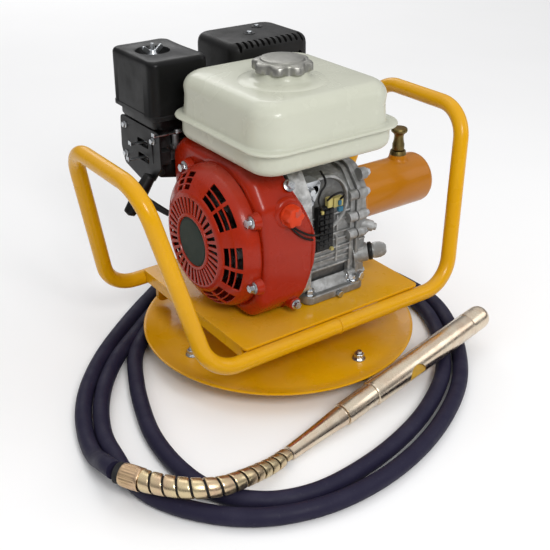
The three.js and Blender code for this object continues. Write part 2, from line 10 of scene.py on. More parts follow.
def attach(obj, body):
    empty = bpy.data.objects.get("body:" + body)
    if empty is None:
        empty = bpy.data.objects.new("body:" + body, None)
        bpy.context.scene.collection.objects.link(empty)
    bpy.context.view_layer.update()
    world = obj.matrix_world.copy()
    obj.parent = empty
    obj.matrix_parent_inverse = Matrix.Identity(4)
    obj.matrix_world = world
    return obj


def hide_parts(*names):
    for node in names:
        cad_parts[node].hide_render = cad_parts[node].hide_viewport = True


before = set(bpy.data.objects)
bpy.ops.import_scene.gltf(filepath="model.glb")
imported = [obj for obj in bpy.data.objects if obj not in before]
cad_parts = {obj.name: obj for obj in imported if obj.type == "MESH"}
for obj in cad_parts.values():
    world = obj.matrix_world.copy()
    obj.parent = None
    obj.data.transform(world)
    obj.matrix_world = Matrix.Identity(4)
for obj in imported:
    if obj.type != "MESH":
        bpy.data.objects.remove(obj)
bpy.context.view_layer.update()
MM = 0.001
ENGINE = Vector((0, -18, 182.6))       # crank axis
TAU = 2 * math.pi
FLOOR = -26                            # soles of the feet
FOOT_CIRCLE = 155                      # radius the feet stand on
RAIL_Y, RAIL_Z = 139.5, 61             # centre lines of the two lower rails
CAP_AT = (-23, -22)                    # filler cap's axis
FILTER_AT = (-99, 176)                 # air cleaner's axis
PIN_X = 206                            # lock pin's axis
SWITCH_AT = (-63, 50)                  # stop switch's axis, x and z

# ---------------------------------------------------------------- camera
AIM = Vector((-0.0409, -0.0492, 0.1124))
AZIMUTH, ELEVATION, DISTANCE = -0.621, 0.491, 1.269
back = Vector((math.sin(AZIMUTH) * math.cos(ELEVATION), -math.cos(AZIMUTH) * math.cos(ELEVATION),
               math.sin(ELEVATION)))
camera = bpy.data.objects.new("camera", bpy.data.cameras.new("camera"))
bpy.context.scene.collection.objects.link(camera)
camera.location = AIM + back * DISTANCE
camera.rotation_euler = (-back).to_track_quat("-Z", "Y").to_euler()
camera.data.lens = 60.03
camera.data.sensor_width = 36
bpy.context.scene.camera = camera


# ---------------------------------------------------------------- materials
class Nodes:
    """A principled material with short calls for adding nodes to it."""

    def __init__(self, name, colour, roughness, metallic):
        self.mat = bpy.data.materials.new(name)
        self.mat.use_nodes = True
        self.tree = self.mat.node_tree
        self.bsdf = self.tree.nodes["Principled BSDF"]
        self.bsdf.inputs["Metallic"].default_value = metallic
        self.where = self.add("ShaderNodeTexCoord").outputs["Object"]
        self.colour = self.rgb(colour)
        self.rough = self.value(roughness)
        self.height = None

    def add(self, kind, **settings):
        node = self.tree.nodes.new(kind)
        for key, value in settings.items():
            setattr(node, key, value)
        return node

    def link(self, a, b):
        self.tree.links.new(a, b)

    def rgb(self, colour):
        node = self.add("ShaderNodeRGB")
        node.outputs[0].default_value = (*colour, 1)
        return node.outputs[0]

    def value(self, number):
        node = self.add("ShaderNodeValue")
        node.outputs[0].default_value = number
        return node.outputs[0]

    def math(self, operation, a, b=0.0):
        node = self.add("ShaderNodeMath", operation=operation)
        for socket, given in ((node.inputs[0], a), (node.inputs[1], b)):
            if isinstance(given, (int, float)):
                socket.default_value = given
            else:
                self.link(given, socket)
        return node.outputs[0]

    def stretch(self, scale):
        node = self.add("ShaderNodeMapping")
        node.inputs["Scale"].default_value = scale
        self.link(self.where, node.inputs["Vector"])
        return node.outputs[0]

    def noise(self, scale, detail=3, stretch=None, distortion=0.0):
        node = self.add("ShaderNodeTexNoise")
        node.inputs["Scale"].default_value = scale
        node.inputs["Detail"].default_value = detail
        node.inputs["Distortion"].default_value = distortion
        self.link(self.stretch(stretch) if stretch else self.where, node.inputs["Vector"])
        return node.outputs["Fac"]

    def ramp(self, fac, low, high, out_low=0.0, out_high=1.0):
        node = self.add("ShaderNodeMapRange")
        node.inputs["From Min"].default_value = low
        node.inputs["From Max"].default_value = high
        node.inputs["To Min"].default_value = out_low
        node.inputs["To Max"].default_value = out_high
        self.link(fac, node.inputs["Value"])
        return node.outputs["Result"]

    def tint(self, fac, colour, amount=1.0):
        """Mixes a colour in where fac is high."""
        node = self.add("ShaderNodeMix", data_type="RGBA")
        self.link(self.math("MULTIPLY", fac, amount), node.inputs["Factor"])
        self.link(self.colour, node.inputs["A"])
        node.inputs["B"].default_value = (*colour, 1)
        self.colour = node.outputs["Result"]
        return self

    def roughen(self, fac, amount):
        self.rough = self.math("ADD", self.rough, self.math("MULTIPLY", fac, amount))
        return self

    def bump(self, fac, depth):
        """Adds relief of that depth, in metres."""
        term = self.math("MULTIPLY", fac, depth)
        self.height = term if self.height is None else self.math("ADD", self.height, term)
        return self

    def worn(self, colour, amount=0.6, low=0.53, high=0.6):
        """Edges that stick out show another colour."""
        edge = self.add("ShaderNodeNewGeometry").outputs["Pointiness"]
        patch = self.ramp(self.noise(60, 4), 0.4, 0.65)
        return self.tint(self.math("MULTIPLY", self.ramp(edge, low, high), patch), colour, amount)

    def dusty(self, colour, amount=0.15):
        """Dust on faces that look up."""
        parts = self.add("ShaderNodeSeparateXYZ")
        self.link(self.add("ShaderNodeNewGeometry").outputs["Normal"], parts.inputs[0])
        up = self.ramp(parts.outputs["Z"], 0.6, 1.0)
        cloud = self.ramp(self.noise(14, 5), 0.42, 0.7)
        return self.tint(self.math("MULTIPLY", up, cloud), colour, amount)

    def done(self):
        self.link(self.colour, self.bsdf.inputs["Base Color"])
        self.link(self.math("MINIMUM", self.math("MAXIMUM", self.rough, 0.03), 1.0),
                  self.bsdf.inputs["Roughness"])
        if self.height is not None:
            node = self.add("ShaderNodeBump")
            node.inputs["Strength"].default_value = 1
            node.inputs["Distance"].default_value = 1
            self.link(self.height, node.inputs["Height"])
            self.link(node.outputs["Normal"], self.bsdf.inputs["Normal"])
        return self.mat


def enamel(name, colour, dark, light, roughness=0.26, coat=0.15):
    """Sprayed gloss paint: orange peel, faint colour drift and dust."""
    n = Nodes(name, colour, roughness, 0.0)
    n.tint(n.ramp(n.noise(9, 4), 0.35, 0.75), dark, 0.35)
    n.tint(n.ramp(n.noise(45, 5), 0.55, 0.8), light, 0.18)
    n.dusty((0.62, 0.58, 0.5), 0.06)
    n.roughen(n.ramp(n.noise(26, 5), 0.4, 0.75), 0.10)
    n.bump(n.noise(210, 2), 0.00010)
    n.bump(n.noise(1500, 2), 0.000012)
    n.bsdf.inputs["Coat Weight"].default_value = coat
    n.bsdf.inputs["Coat Roughness"].default_value = 0.06
    n.bsdf.inputs["Specular IOR Level"].default_value = 0.2
    return n


def cast(name, colour, roughness=0.5, grain=0.00016):
    """Sand or die cast metal: fine grain, stains, bright high spots and painted shade in hollows."""
    n = Nodes(name, colour, roughness, 0.85)
    n.tint(n.ramp(n.noise(30, 5), 0.45, 0.75), tuple(c * 0.55 for c in colour), 0.5)
    n.tint(n.ramp(n.noise(120, 3), 0.5, 0.8), (0.8, 0.82, 0.83), 0.35)
    n.worn((0.85, 0.86, 0.86), 0.6)
    # painted shade: concave edges and creases are darkened to stand in for the shade that falls in hollows
    hollow = n.add("ShaderNodeNewGeometry").outputs["Pointiness"]
    n.tint(n.ramp(hollow, 0.497, 0.44), (0.02, 0.02, 0.021), 0.75)
    n.roughen(n.ramp(n.noise(90, 4), 0.3, 0.7), 0.18)
    n.bump(n.noise(620, 3), grain)
    n.bump(n.noise(120, 2), grain * 2)
    return n


def plated(name, colour, patch, roughness=0.28, streak=(1, 1, 1), relief=0.00003):
    """Plated or machined metal with soft colour patches and fine lines along one way."""
    n = Nodes(name, colour, roughness, 1.0)
    n.tint(n.ramp(n.noise(40, 4), 0.42, 0.72), patch, 0.7)
    n.roughen(n.ramp(n.noise(70, 4), 0.4, 0.8), 0.16)
    lines = n.noise(700, 2, stretch=streak)
    n.roughen(n.ramp(lines, 0.4, 0.7), 0.06)
    n.bump(lines, relief)
    return n


def moulded(name, colour, roughness=0.45, grain=0.00006):
    """Black moulded plastic or baked paint with a fine texture and grey scuffs."""
    n = Nodes(name, colour, roughness, 0.0)
    n.tint(n.ramp(n.noise(18, 5), 0.5, 0.8), (0.03, 0.03, 0.03), 0.4)
    n.worn((0.10, 0.10, 0.10), 0.4)
    n.dusty((0.3, 0.28, 0.24), 0.04)
    n.bsdf.inputs["Specular IOR Level"].default_value = 0.2
    n.roughen(n.ramp(n.noise(30, 5), 0.4, 0.7), 0.15)
    n.bump(n.noise(900, 3), grain)
    n.bump(n.noise(60, 2), 0.0002)
    return n


YELLOW = enamel("yellow_enamel", (0.70, 0.35, 0.002), (0.56, 0.255, 0.001), (0.78, 0.44, 0.008)).done()
# painted shade: the coupling wears the same yellow enamel, and this darker, browner copy stands in for the
# shade that falls on it
YELLOW_SHADED = enamel("yellow_enamel_shaded", (0.46, 0.165, 0.001), (0.35, 0.115, 0.001), (0.53, 0.215, 0.003), 0.3).done()
RED = enamel("red_enamel", (0.35, 0.018, 0.003), (0.24, 0.010, 0.002), (0.46, 0.036, 0.007), 0.24, 0.1).done()
CREAM = enamel("cream_enamel", (0.56, 0.57, 0.47), (0.48, 0.49, 0.40), (0.62, 0.62, 0.52), 0.22).done()
ALU = cast("cast_aluminium", (0.30, 0.30, 0.292)).done()
ALU_DARK = cast("cast_aluminium_dark", (0.10, 0.10, 0.105), 0.55).done()
ZINC = plated("zinc_plate", (0.55, 0.57, 0.59), (0.36, 0.38, 0.40), 0.25).done()
CAP_METAL = plated("cap_metal", (0.36, 0.355, 0.325), (0.24, 0.24, 0.21), 0.34).done()
STEEL = plated("machined_steel", (0.35, 0.35, 0.36), (0.22, 0.22, 0.23), 0.3).done()
BRONZE = plated("dull_bronze", (0.20, 0.15, 0.055), (0.10, 0.08, 0.035), 0.36).done()
GOLD = plated("yellow_passivated", (0.74, 0.64, 0.50), (0.60, 0.43, 0.31), 0.2, (1, 12, 12),
              relief=0.000002).done()
GOLD_DARK = plated("copper_ferrule", (0.60, 0.42, 0.27), (0.50, 0.36, 0.18), 0.26).done()
FLAT_GOLD = moulded("flat_gold", (0.60, 0.34, 0.03), 0.3).done()
BLACK = moulded("black_moulding", (0.0035, 0.0035, 0.0037), 0.34).done()
BLACK_PAINT = moulded("black_baked_paint", (0.010, 0.0098, 0.0095), 0.42, 0.0001).done()
RUBBER = moulded("black_rubber", (0.016, 0.016, 0.017), 0.7, 0.0001).done()
SWITCH_RED = moulded("switch_red", (0.62, 0.045, 0.008), 0.35).done()
GUARD_METAL = plated("guard_metal", (0.66, 0.54, 0.33), (0.56, 0.36, 0.26), 0.24, (1, 12, 12),
                     relief=0.00001).done()
PLAIN_DISC = moulded("plain_dark_disc", (0.018, 0.030, 0.022), 0.55).done()
FOAM = moulded("filter_foam", (0.14, 0.13, 0.1), 0.9, 0.0006).done()
BLUE = moulded("blue_connector", (0.02, 0.15, 0.25), 0.4).done()
TAPE = moulded("cream_connector", (0.50, 0.42, 0.14), 0.5).done()


def hose_rubber():
    """Smooth navy-black rubber with a faint wrapped texture and chalky scuffs."""
    n = Nodes("hose_rubber", (0.014, 0.012, 0.032), 0.5, 0.0)
    n.tint(n.ramp(n.noise(22, 5), 0.5, 0.8), (0.034, 0.031, 0.058), 0.5)
    n.tint(n.ramp(n.noise(260, 4), 0.62, 0.8), (0.07, 0.066, 0.09), 0.25)
    n.bsdf.inputs["Specular IOR Level"].default_value = 0.2
    n.roughen(n.ramp(n.noise(50, 5), 0.35, 0.75), 0.22)
    n.bump(n.noise(900, 3), 0.00006)
    n.bump(n.noise(70, 3), 0.0004)
    return n.done()


HOSE = hose_rubber()


# ---------------------------------------------------------------- mesh helpers
def add_object(name, bm):
    """Turns a bmesh in millimetres into an object in the scene, in metres."""
    bmesh.ops.scale(bm, vec=(MM, MM, MM), verts=bm.verts)
    mesh = bpy.data.meshes.new(name)
    bm.to_mesh(mesh)
    bm.free()
    obj = bpy.data.objects.new(name, mesh)
    bpy.context.scene.collection.objects.link(obj)
    return obj


def soften(obj, width, segments, angle):
    """Rounds an object's sharp edges."""
    mod = obj.modifiers.new("edges", "BEVEL")
    mod.width = width * MM
    mod.segments = segments
    mod.limit_method = "ANGLE"
    mod.angle_limit = math.radians(angle)
    return mod


def piece(name, bm, mat, body, nodes=(), at=(0, 0, 0), bevel=0.0, segments=2, angle=40, turn=None):
    """Makes an object from a bmesh in millimetres; it rides on body and stands for the CAD nodes."""
    if turn is not None:
        bmesh.ops.transform(bm, matrix=turn, verts=bm.verts)
    bmesh.ops.translate(bm, vec=Vector(at), verts=bm.verts)
    bmesh.ops.remove_doubles(bm, verts=bm.verts, dist=0.002)
    bmesh.ops.recalc_face_normals(bm, faces=bm.faces)
    obj = add_object(name, bm)
    obj.data.shade_smooth()
    obj.data.set_sharp_from_angle(angle=math.radians(angle))
    obj.data.materials.append(mat)
    if bevel:
        soften(obj, bevel, segments, angle).harden_normals = True
    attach(obj, body)
    if nodes:
        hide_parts(*([nodes] if isinstance(nodes, str) else nodes))
    return obj


def engine_piece(name, bm, mat, node=(), body="frame", **how):
    """A piece drawn about the crank axis."""
    return piece(name, bm, mat, body, node, at=ENGINE, **how)


def carve(obj, bm, at=(0, 0, 0)):
    """Cuts a bmesh in millimetres out of an object."""
    bmesh.ops.translate(bm, vec=Vector(at), verts=bm.verts)
    bmesh.ops.recalc_face_normals(bm, faces=bm.faces)
    cutter = add_object("cutter", bm)
    held = len(obj.modifiers) > 0
    mod = obj.modifiers.new("cut", "BOOLEAN")
    mod.operation = "DIFFERENCE"
    mod.object = cutter
    mod.solver = "EXACT"
    if held:
        obj.modifiers.move(len(obj.modifiers) - 1, 0)
    graph = bpy.context.evaluated_depsgraph_get()
    if held:
        for m in obj.modifiers:
            m.show_viewport = m.name == "cut"
        graph.update()
    result = bpy.data.meshes.new_from_object(obj.evaluated_get(graph))
    obj.modifiers.remove(mod)
    for m in obj.modifiers:
        m.show_viewport = True
    obj.data = result
    bpy.data.objects.remove(cutter)
    return obj


def loft(bm, rings, start=True, end=True, loop=False):
    """Skins rings of equal count. Each ring is a closed row of points."""
    rows = [[bm.verts.new(p) for p in ring] for ring in rings]
    n = len(rows[0])
    pairs = list(zip(rows, rows[1:]))
    if loop:
        pairs.append((rows[-1], rows[0]))
    for a, b in pairs:
        for i in range(n):
            j = (i + 1) % n
            bm.faces.new((a[i], a[j], b[j], b[i]))
    if not loop:
        if start:
            bm.faces.new(list(reversed(rows[0])))
        if end:
            bm.faces.new(rows[-1])
    return rows


def frame_of(axis):
    """Two unit vectors across an axis."""
    axis = Vector(axis).normalized()
    side = Vector((0, 0, 1)) if abs(axis.z) < 0.9 else Vector((1, 0, 0))
    u = side.cross(axis).normalized()
    return u, axis.cross(u)


def polar(u, v, angle):
    """A vector across an axis, turned from u towards v."""
    return u * math.cos(angle) + v * math.sin(angle)


def quarter(steps, first=0):
    """The sine, and one less the cosine, at even steps of a quarter turn."""
    for k in range(first, steps + 1):
        a = k / steps * math.pi / 2
        yield math.sin(a), 1 - math.cos(a)


AXES = {"X": (1, 0, 0), "Y": (0, 1, 0), "Z": (0, 0, 1)}


def spin(bm, profile, axis="X", at=(0, 0, 0), segments=64, closed=False):
    """Turns a profile of (radius, height) about an axis through a point."""
    if isinstance(axis, str):
        axis = AXES[axis]
    w = Vector(axis).normalized()
    u, v = frame_of(w)
    at = Vector(at)
    rings = []
    for r, h in profile:
        r = max(r, 0.001)
        rings.append([at + w * h + polar(u, v, TAU * i / segments) * r for i in range(segments)])
    loft(bm, rings, loop=closed)


def rod(bm, a, b, radius, segments=24, end=None):
    a, b = Vector(a), Vector(b)
    spin(bm, [(radius, 0), (radius if end is None else end, (b - a).length)], (b - a), a, segments)


def box(bm, lo, hi):
    lo, hi = Vector(lo), Vector(hi)
    made = bmesh.ops.create_cube(bm, size=1)["verts"]
    for vert in made:
        vert.co = Vector((lo[i] + (vert.co[i] + 0.5) * (hi[i] - lo[i]) for i in range(3)))


def rounded(points, radius, steps=6):
    """A closed outline with round corners, as a list of 2D points."""
    out = []
    n = len(points)
    for i in range(n):
        here = Vector(points[i])
        before = Vector(points[i - 1]) - here
        after = Vector(points[(i + 1) % n]) - here
        r = radius[i] if isinstance(radius, (list, tuple)) else radius
        half = before.angle(after) / 2
        reach = min(r / max(math.tan(half), 1e-6), before.length * 0.49, after.length * 0.49)
        r = reach * math.tan(half)
        a = here + before.normalized() * reach
        b = here + after.normalized() * reach
        towards = (before.normalized() + after.normalized()).normalized()
        centre = here + towards * (r / max(math.sin(half), 1e-6))
        for k in range(steps + 1):
            t = k / steps
            p = a.lerp(b, t) - centre
            out.append(centre + p.normalized() * r if p.length > 1e-6 else a)
    return out


def prism(bm, outline, lo, hi, along="X"):
    """Pushes an outline along an axis: (y, z) along X, (x, z) along Y, or (x, y) along Z."""
    put = {"X": lambda p, h: (h, p[0], p[1]), "Y": lambda p, h: (p[0], h, p[1]),
           "Z": lambda p, h: (p[0], p[1], h)}[along]
    loft(bm, [[put(p, h) for p in outline] for h in (lo, hi)])


def rect(x0, x1, y0, y1, r, steps=6):
    return rounded([(x0, y0), (x1, y0), (x1, y1), (x0, y1)], r, steps)


def stack(bm, levels, steps=8, start=True, end=True):
    """A lofted box: each level is (z, x0, x1, y0, y1, corner radius)."""
    loft(bm, [[(p[0], p[1], z) for p in rect(x0, x1, y0, y1, r, steps)] for z, x0, x1, y0, y1, r in levels],
         start, end)


def crowned(z0, z1, x0, x1, y0, y1, corner, low, high, steps=5):
    """Levels of a box whose bottom and top edges are rounded by low and high."""
    rows = [(z0 + low * fall, low * (1 - rise)) for rise, fall in quarter(steps)]
    rows += [(z1 - high * (1 - rise), high * fall) for rise, fall in quarter(steps)]
    return [(z, x0 + i, x1 - i, y0 + i, y1 - i, max(corner - i, 1)) for z, i in rows]


def bend_path(corners, radius, step=4.0):
    """Points along straight runs joined by arcs."""
    corners = [Vector(c) for c in corners]
    out = [corners[0]]
    for i in range(1, len(corners) - 1):
        here = corners[i]
        b = (corners[i - 1] - here).normalized()
        a = (corners[i + 1] - here).normalized()
        half = b.angle(a) / 2
        reach = radius / math.tan(half)
        centre = here + (a + b).normalized() * (radius / math.sin(half))
        p, q = here + b * reach - centre, here + a * reach - centre
        total = p.angle(q)
        count = max(6, int(total * radius / step))
        for k in range(count + 1):
            t = k / count
            out.append(centre + (p * math.sin((1 - t) * total) + q * math.sin(t * total)) / math.sin(total))
    out.append(corners[-1])
    return out


def smooth_path(points, per=12):
    """A centripetal Catmull-Rom curve through the points."""
    pts = [Vector(p) for p in points]
    pts = [pts[0] * 2 - pts[1]] + pts + [pts[-1] * 2 - pts[-2]]
    out = []
    for p0, p1, p2, p3 in zip(pts, pts[1:], pts[2:], pts[3:]):
        t0 = 0.0
        t1 = t0 + (p1 - p0).length ** 0.5
        t2 = t1 + (p2 - p1).length ** 0.5
        t3 = t2 + (p3 - p2).length ** 0.5
        for k in range(per):
            t = t1 + (t2 - t1) * k / per
            a1 = p0 * ((t1 - t) / (t1 - t0)) + p1 * ((t - t0) / (t1 - t0))
            a2 = p1 * ((t2 - t) / (t2 - t1)) + p2 * ((t - t1) / (t2 - t1))
            a3 = p2 * ((t3 - t) / (t3 - t2)) + p3 * ((t - t2) / (t3 - t2))
            b1 = a1 * ((t2 - t) / (t2 - t0)) + a2 * ((t - t0) / (t2 - t0))
            b2 = a2 * ((t3 - t) / (t3 - t1)) + a3 * ((t - t1) / (t3 - t1))
            out.append(b1 * ((t2 - t) / (t2 - t1)) + b2 * ((t - t1) / (t2 - t1)))
    out.append(pts[-2])
    return out


def frames_along(points):
    """Tangent and two cross vectors at each point, turning as little as possible."""
    tangents = []
    for i in range(len(points)):
        a = points[max(i - 1, 0)]
        b = points[min(i + 1, len(points) - 1)]
        tangents.append((b - a).normalized())
    u, _ = frame_of(tangents[0])
    out = []
    for t in tangents:
        u = (u - t * u.dot(t)).normalized()
        out.append((t, u, t.cross(u)))
    return out


def sweep(bm, points, radius, sides=20, start=True, end=True):
    """A tube along points; radius is a number or one number per point."""
    points = [Vector(p) for p in points]
    rings = []
    for i, (p, (t, u, v)) in enumerate(zip(points, frames_along(points))):
        r = radius[i] if isinstance(radius, (list, tuple)) else radius
        rings.append([p + polar(u, v, TAU * k / sides) * r for k in range(sides)])
    loft(bm, rings, start, end)


def hexagon(bm, at, axis, across, height, chamfer=0.6):
    axis = Vector(axis).normalized()
    u, v = frame_of(axis)
    at = Vector(at)
    r = across / 2 / math.cos(math.pi / 6)
    rings = []
    for h, k in ((0, 1), (height - chamfer, 1), (height, 0.9)):
        rings.append([at + axis * h + polar(u, v, TAU * i / 6) * r * k for i in range(6)])
    loft(bm, rings)


def bolt(bm, at, axis, across=10, height=6, washer=8.5, stud=0.0):
    """A flanged hexagon head standing on a surface point."""
    axis = Vector(axis).normalized()
    at = Vector(at)
    spin(bm, [(washer, 0), (washer, 1.0), (washer * 0.72, 2.0)], axis, at, 20)
    hexagon(bm, at + axis * 1.6, axis, across, height)
    spin(bm, [(across * 0.3, 1.6 + height - 0.3), (across * 0.26, 1.6 + height - 0.6)], axis, at, 12)
    if stud:
        rod(bm, at, at + axis * (height + stud), across * 0.28, 16)


def bolts(name, heads, **how):
    """A piece of several bolts; each head is what bolt() takes after the mesh."""
    bm = bmesh.new()
    for head in heads:
        bolt(bm, *head)
    engine_piece(name, bm, ZINC, angle=30, **how)


# ---------------------------------------------------------------- weld beads
def bead(name, points, radius, body, mat=YELLOW, at=(0, 0, 0), closed=False):
    """A weld bead: a thin tube whose radius ripples along its length."""
    pts = [Vector(p) for p in points]
    fine = []
    ends = zip(pts, pts[1:] + ([pts[0]] if closed else []))
    for a, b in ends:
        count = max(1, int((b - a).length / 1.2))
        fine += [a.lerp(b, k / count) for k in range(count)]
    if not closed:
        fine.append(pts[-1])
    radii = [radius * (1 + 0.16 * math.sin(k * 1.9) + 0.15 * noise.noise(p * 0.13))
             for k, p in enumerate(fine)]
    bm = bmesh.new()
    if closed:
        fine.append(fine[0])
        radii.append(radii[0])
    sweep(bm, fine, radii, 8)
    return piece(name, bm, mat, body, at=at, angle=60)


def ring_points(centre, axis, radius, count=40):
    u, v = frame_of(axis)
    return [Vector(centre) + polar(u, v, TAU * k / count) * radius for k in range(count)]


# ---------------------------------------------------------------- base disc, feet and swivel
def build_base():
    bm = bmesh.new()
    profile = [(0, 0), (60, 0), (120, 0), (176, 0), (182, 0.5), (192, 3), (197, 4.3), (199.3, 5.6),
               (199.9, 6.9), (199.3, 8.1), (197.8, 8.4), (195, 7.4), (190, 6.1), (181, 3.6), (175, 3),
               (120, 3), (60, 3), (0, 3)]
    spin(bm, profile, "Z", segments=180)
    piece("base_disc_looks", bm, YELLOW, "base", "base_disc", angle=50)
    for name, degrees in (("foot_left", -177), ("foot_front", -79), ("foot_right", 3), ("foot_rear", 101)):
        a = math.radians(degrees)
        at = (FOOT_CIRCLE * math.cos(a), FOOT_CIRCLE * math.sin(a), 0)
        bm = bmesh.new()
        spin(bm, [(0, FLOOR), (13.5, FLOOR), (15.2, -25.2), (16, -23.6), (16, -16), (14.6, -14.6),
                  (14.6, -11.6), (16, -10), (16, -2), (15.4, -0.6), (13.5, -0.3), (0, -0.3)], "Z",
                  segments=48)
        piece(name + "_rubber", bm, RUBBER, "base", name, at=at)
        bm = bmesh.new()
        spin(bm, [(4, 3.1), (9.2, 3.1), (9.4, 3.8), (9, 4.6), (4, 4.6)], "Z", segments=36, closed=True)
        hexagon(bm, (0, 0, 4.6), (0, 0, 1), 12.5, 7.4)
        rod(bm, (0, 0, 4), (0, 0, 16), 3.7, 24, 3.3)
        for k in range(4):
            spin(bm, [(3.4, 12.1 + k * 0.8), (3.9, 12.4 + k * 0.8), (3.4, 12.8 + k * 0.8)], "Z", segments=24)
        piece(name + "_stud", bm, ZINC, "base", at=at, angle=30)
    bm = bmesh.new()
    spin(bm, [(0, 3.2), (49, 3.2), (50, 4), (50, 7.4), (49, 8), (26, 8.6), (18, 9.4), (15, 11.5), (14, 14),
              (14, 62), (12.5, 64), (0, 64)], "Z", segments=72)
    piece("swivel_post_looks", bm, STEEL, "base", "swivel_post")
    bm = bmesh.new()
    for k in range(4):
        a = math.radians(45 + 90 * k)
        bolt(bm, (40 * math.cos(a), 40 * math.sin(a), 8), (0, 0, 1), 10, 5)
    piece("swivel_post_bolts", bm, ZINC, "base", angle=30)
    bm = bmesh.new()
    spin(bm, [(18.3, 12), (29, 12), (30, 13), (30, 60), (31.5, 65), (34, 66), (51, 66), (52, 67), (52, 71),
              (51, 72), (18.3, 72)], "Z", segments=72, closed=True)
    piece("swivel_housing_looks", bm, YELLOW, "frame", "swivel_housing")


# ---------------------------------------------------------------- carrying frame
def build_frame():
    for side, name in ((-1, "frame_left_half"), (1, "frame_right_half")):
        half = [(side * 0.15, RAIL_Y, RAIL_Z), (side * 204, RAIL_Y, RAIL_Z), (side * 259, 91, 305)]
        corners = [(x, -y, z) for x, y, z in half] + half[::-1]
        bm = bmesh.new()
        sweep(bm, bend_path(corners, 52, 3), 11, 40)
        piece(name + "_looks", bm, YELLOW, "frame", name, angle=50)
    for y in (-RAIL_Y, RAIL_Y):
        bead(f"rail_weld_{'near' if y < 0 else 'far'}", ring_points((0, y, RAIL_Z), (1, 0, 0), 11.2, 48),
             1.1, "frame", closed=True)
    bm = bmesh.new()
    prism(bm, rect(-150, 150, -136, 136, 6), 72.3, 76.3, "Z")
    piece("mounting_plate_looks", bm, YELLOW, "frame", "mounting_plate", bevel=0.7, segments=3)
    for y in (-1, 1):
        rows = [(x, y * 132, 71.4) for x in range(-146, 147, 8)]
        for k, part in enumerate((rows[:9], rows[14:23], rows[28:])):
            bead(f"plate_weld_{'near' if y < 0 else 'far'}_{k}", part, 2.1, "frame")
    for x in (-1, 1):
        # folded lip under each end of the plate
        bm = bmesh.new()
        box(bm, (x * 148 - 1.6, -128, 58), (x * 148 + 1.6, 128, 72.4))
        piece(f"plate_lip_{'left' if x < 0 else 'right'}", bm, YELLOW, "frame", bevel=1.0)
    bm = bmesh.new()
    prism(bm, rounded([(-127, 12), (-105, 12), (-105, 50.5), (-127, 50.5)], [8, 8, 1, 1]), 135.5, 143.5, "Y")
    piece("support_leg_looks", bm, YELLOW, "frame", "support_leg", bevel=0.8)
    bead("support_leg_weld", [(-128, 134.5, 50.6), (-104, 134.5, 50.6)], 1.6, "frame")


# ---------------------------------------------------------------- engine block
TILT = math.radians(25)
TILTED = Matrix.Rotation(TILT, 4, "X")


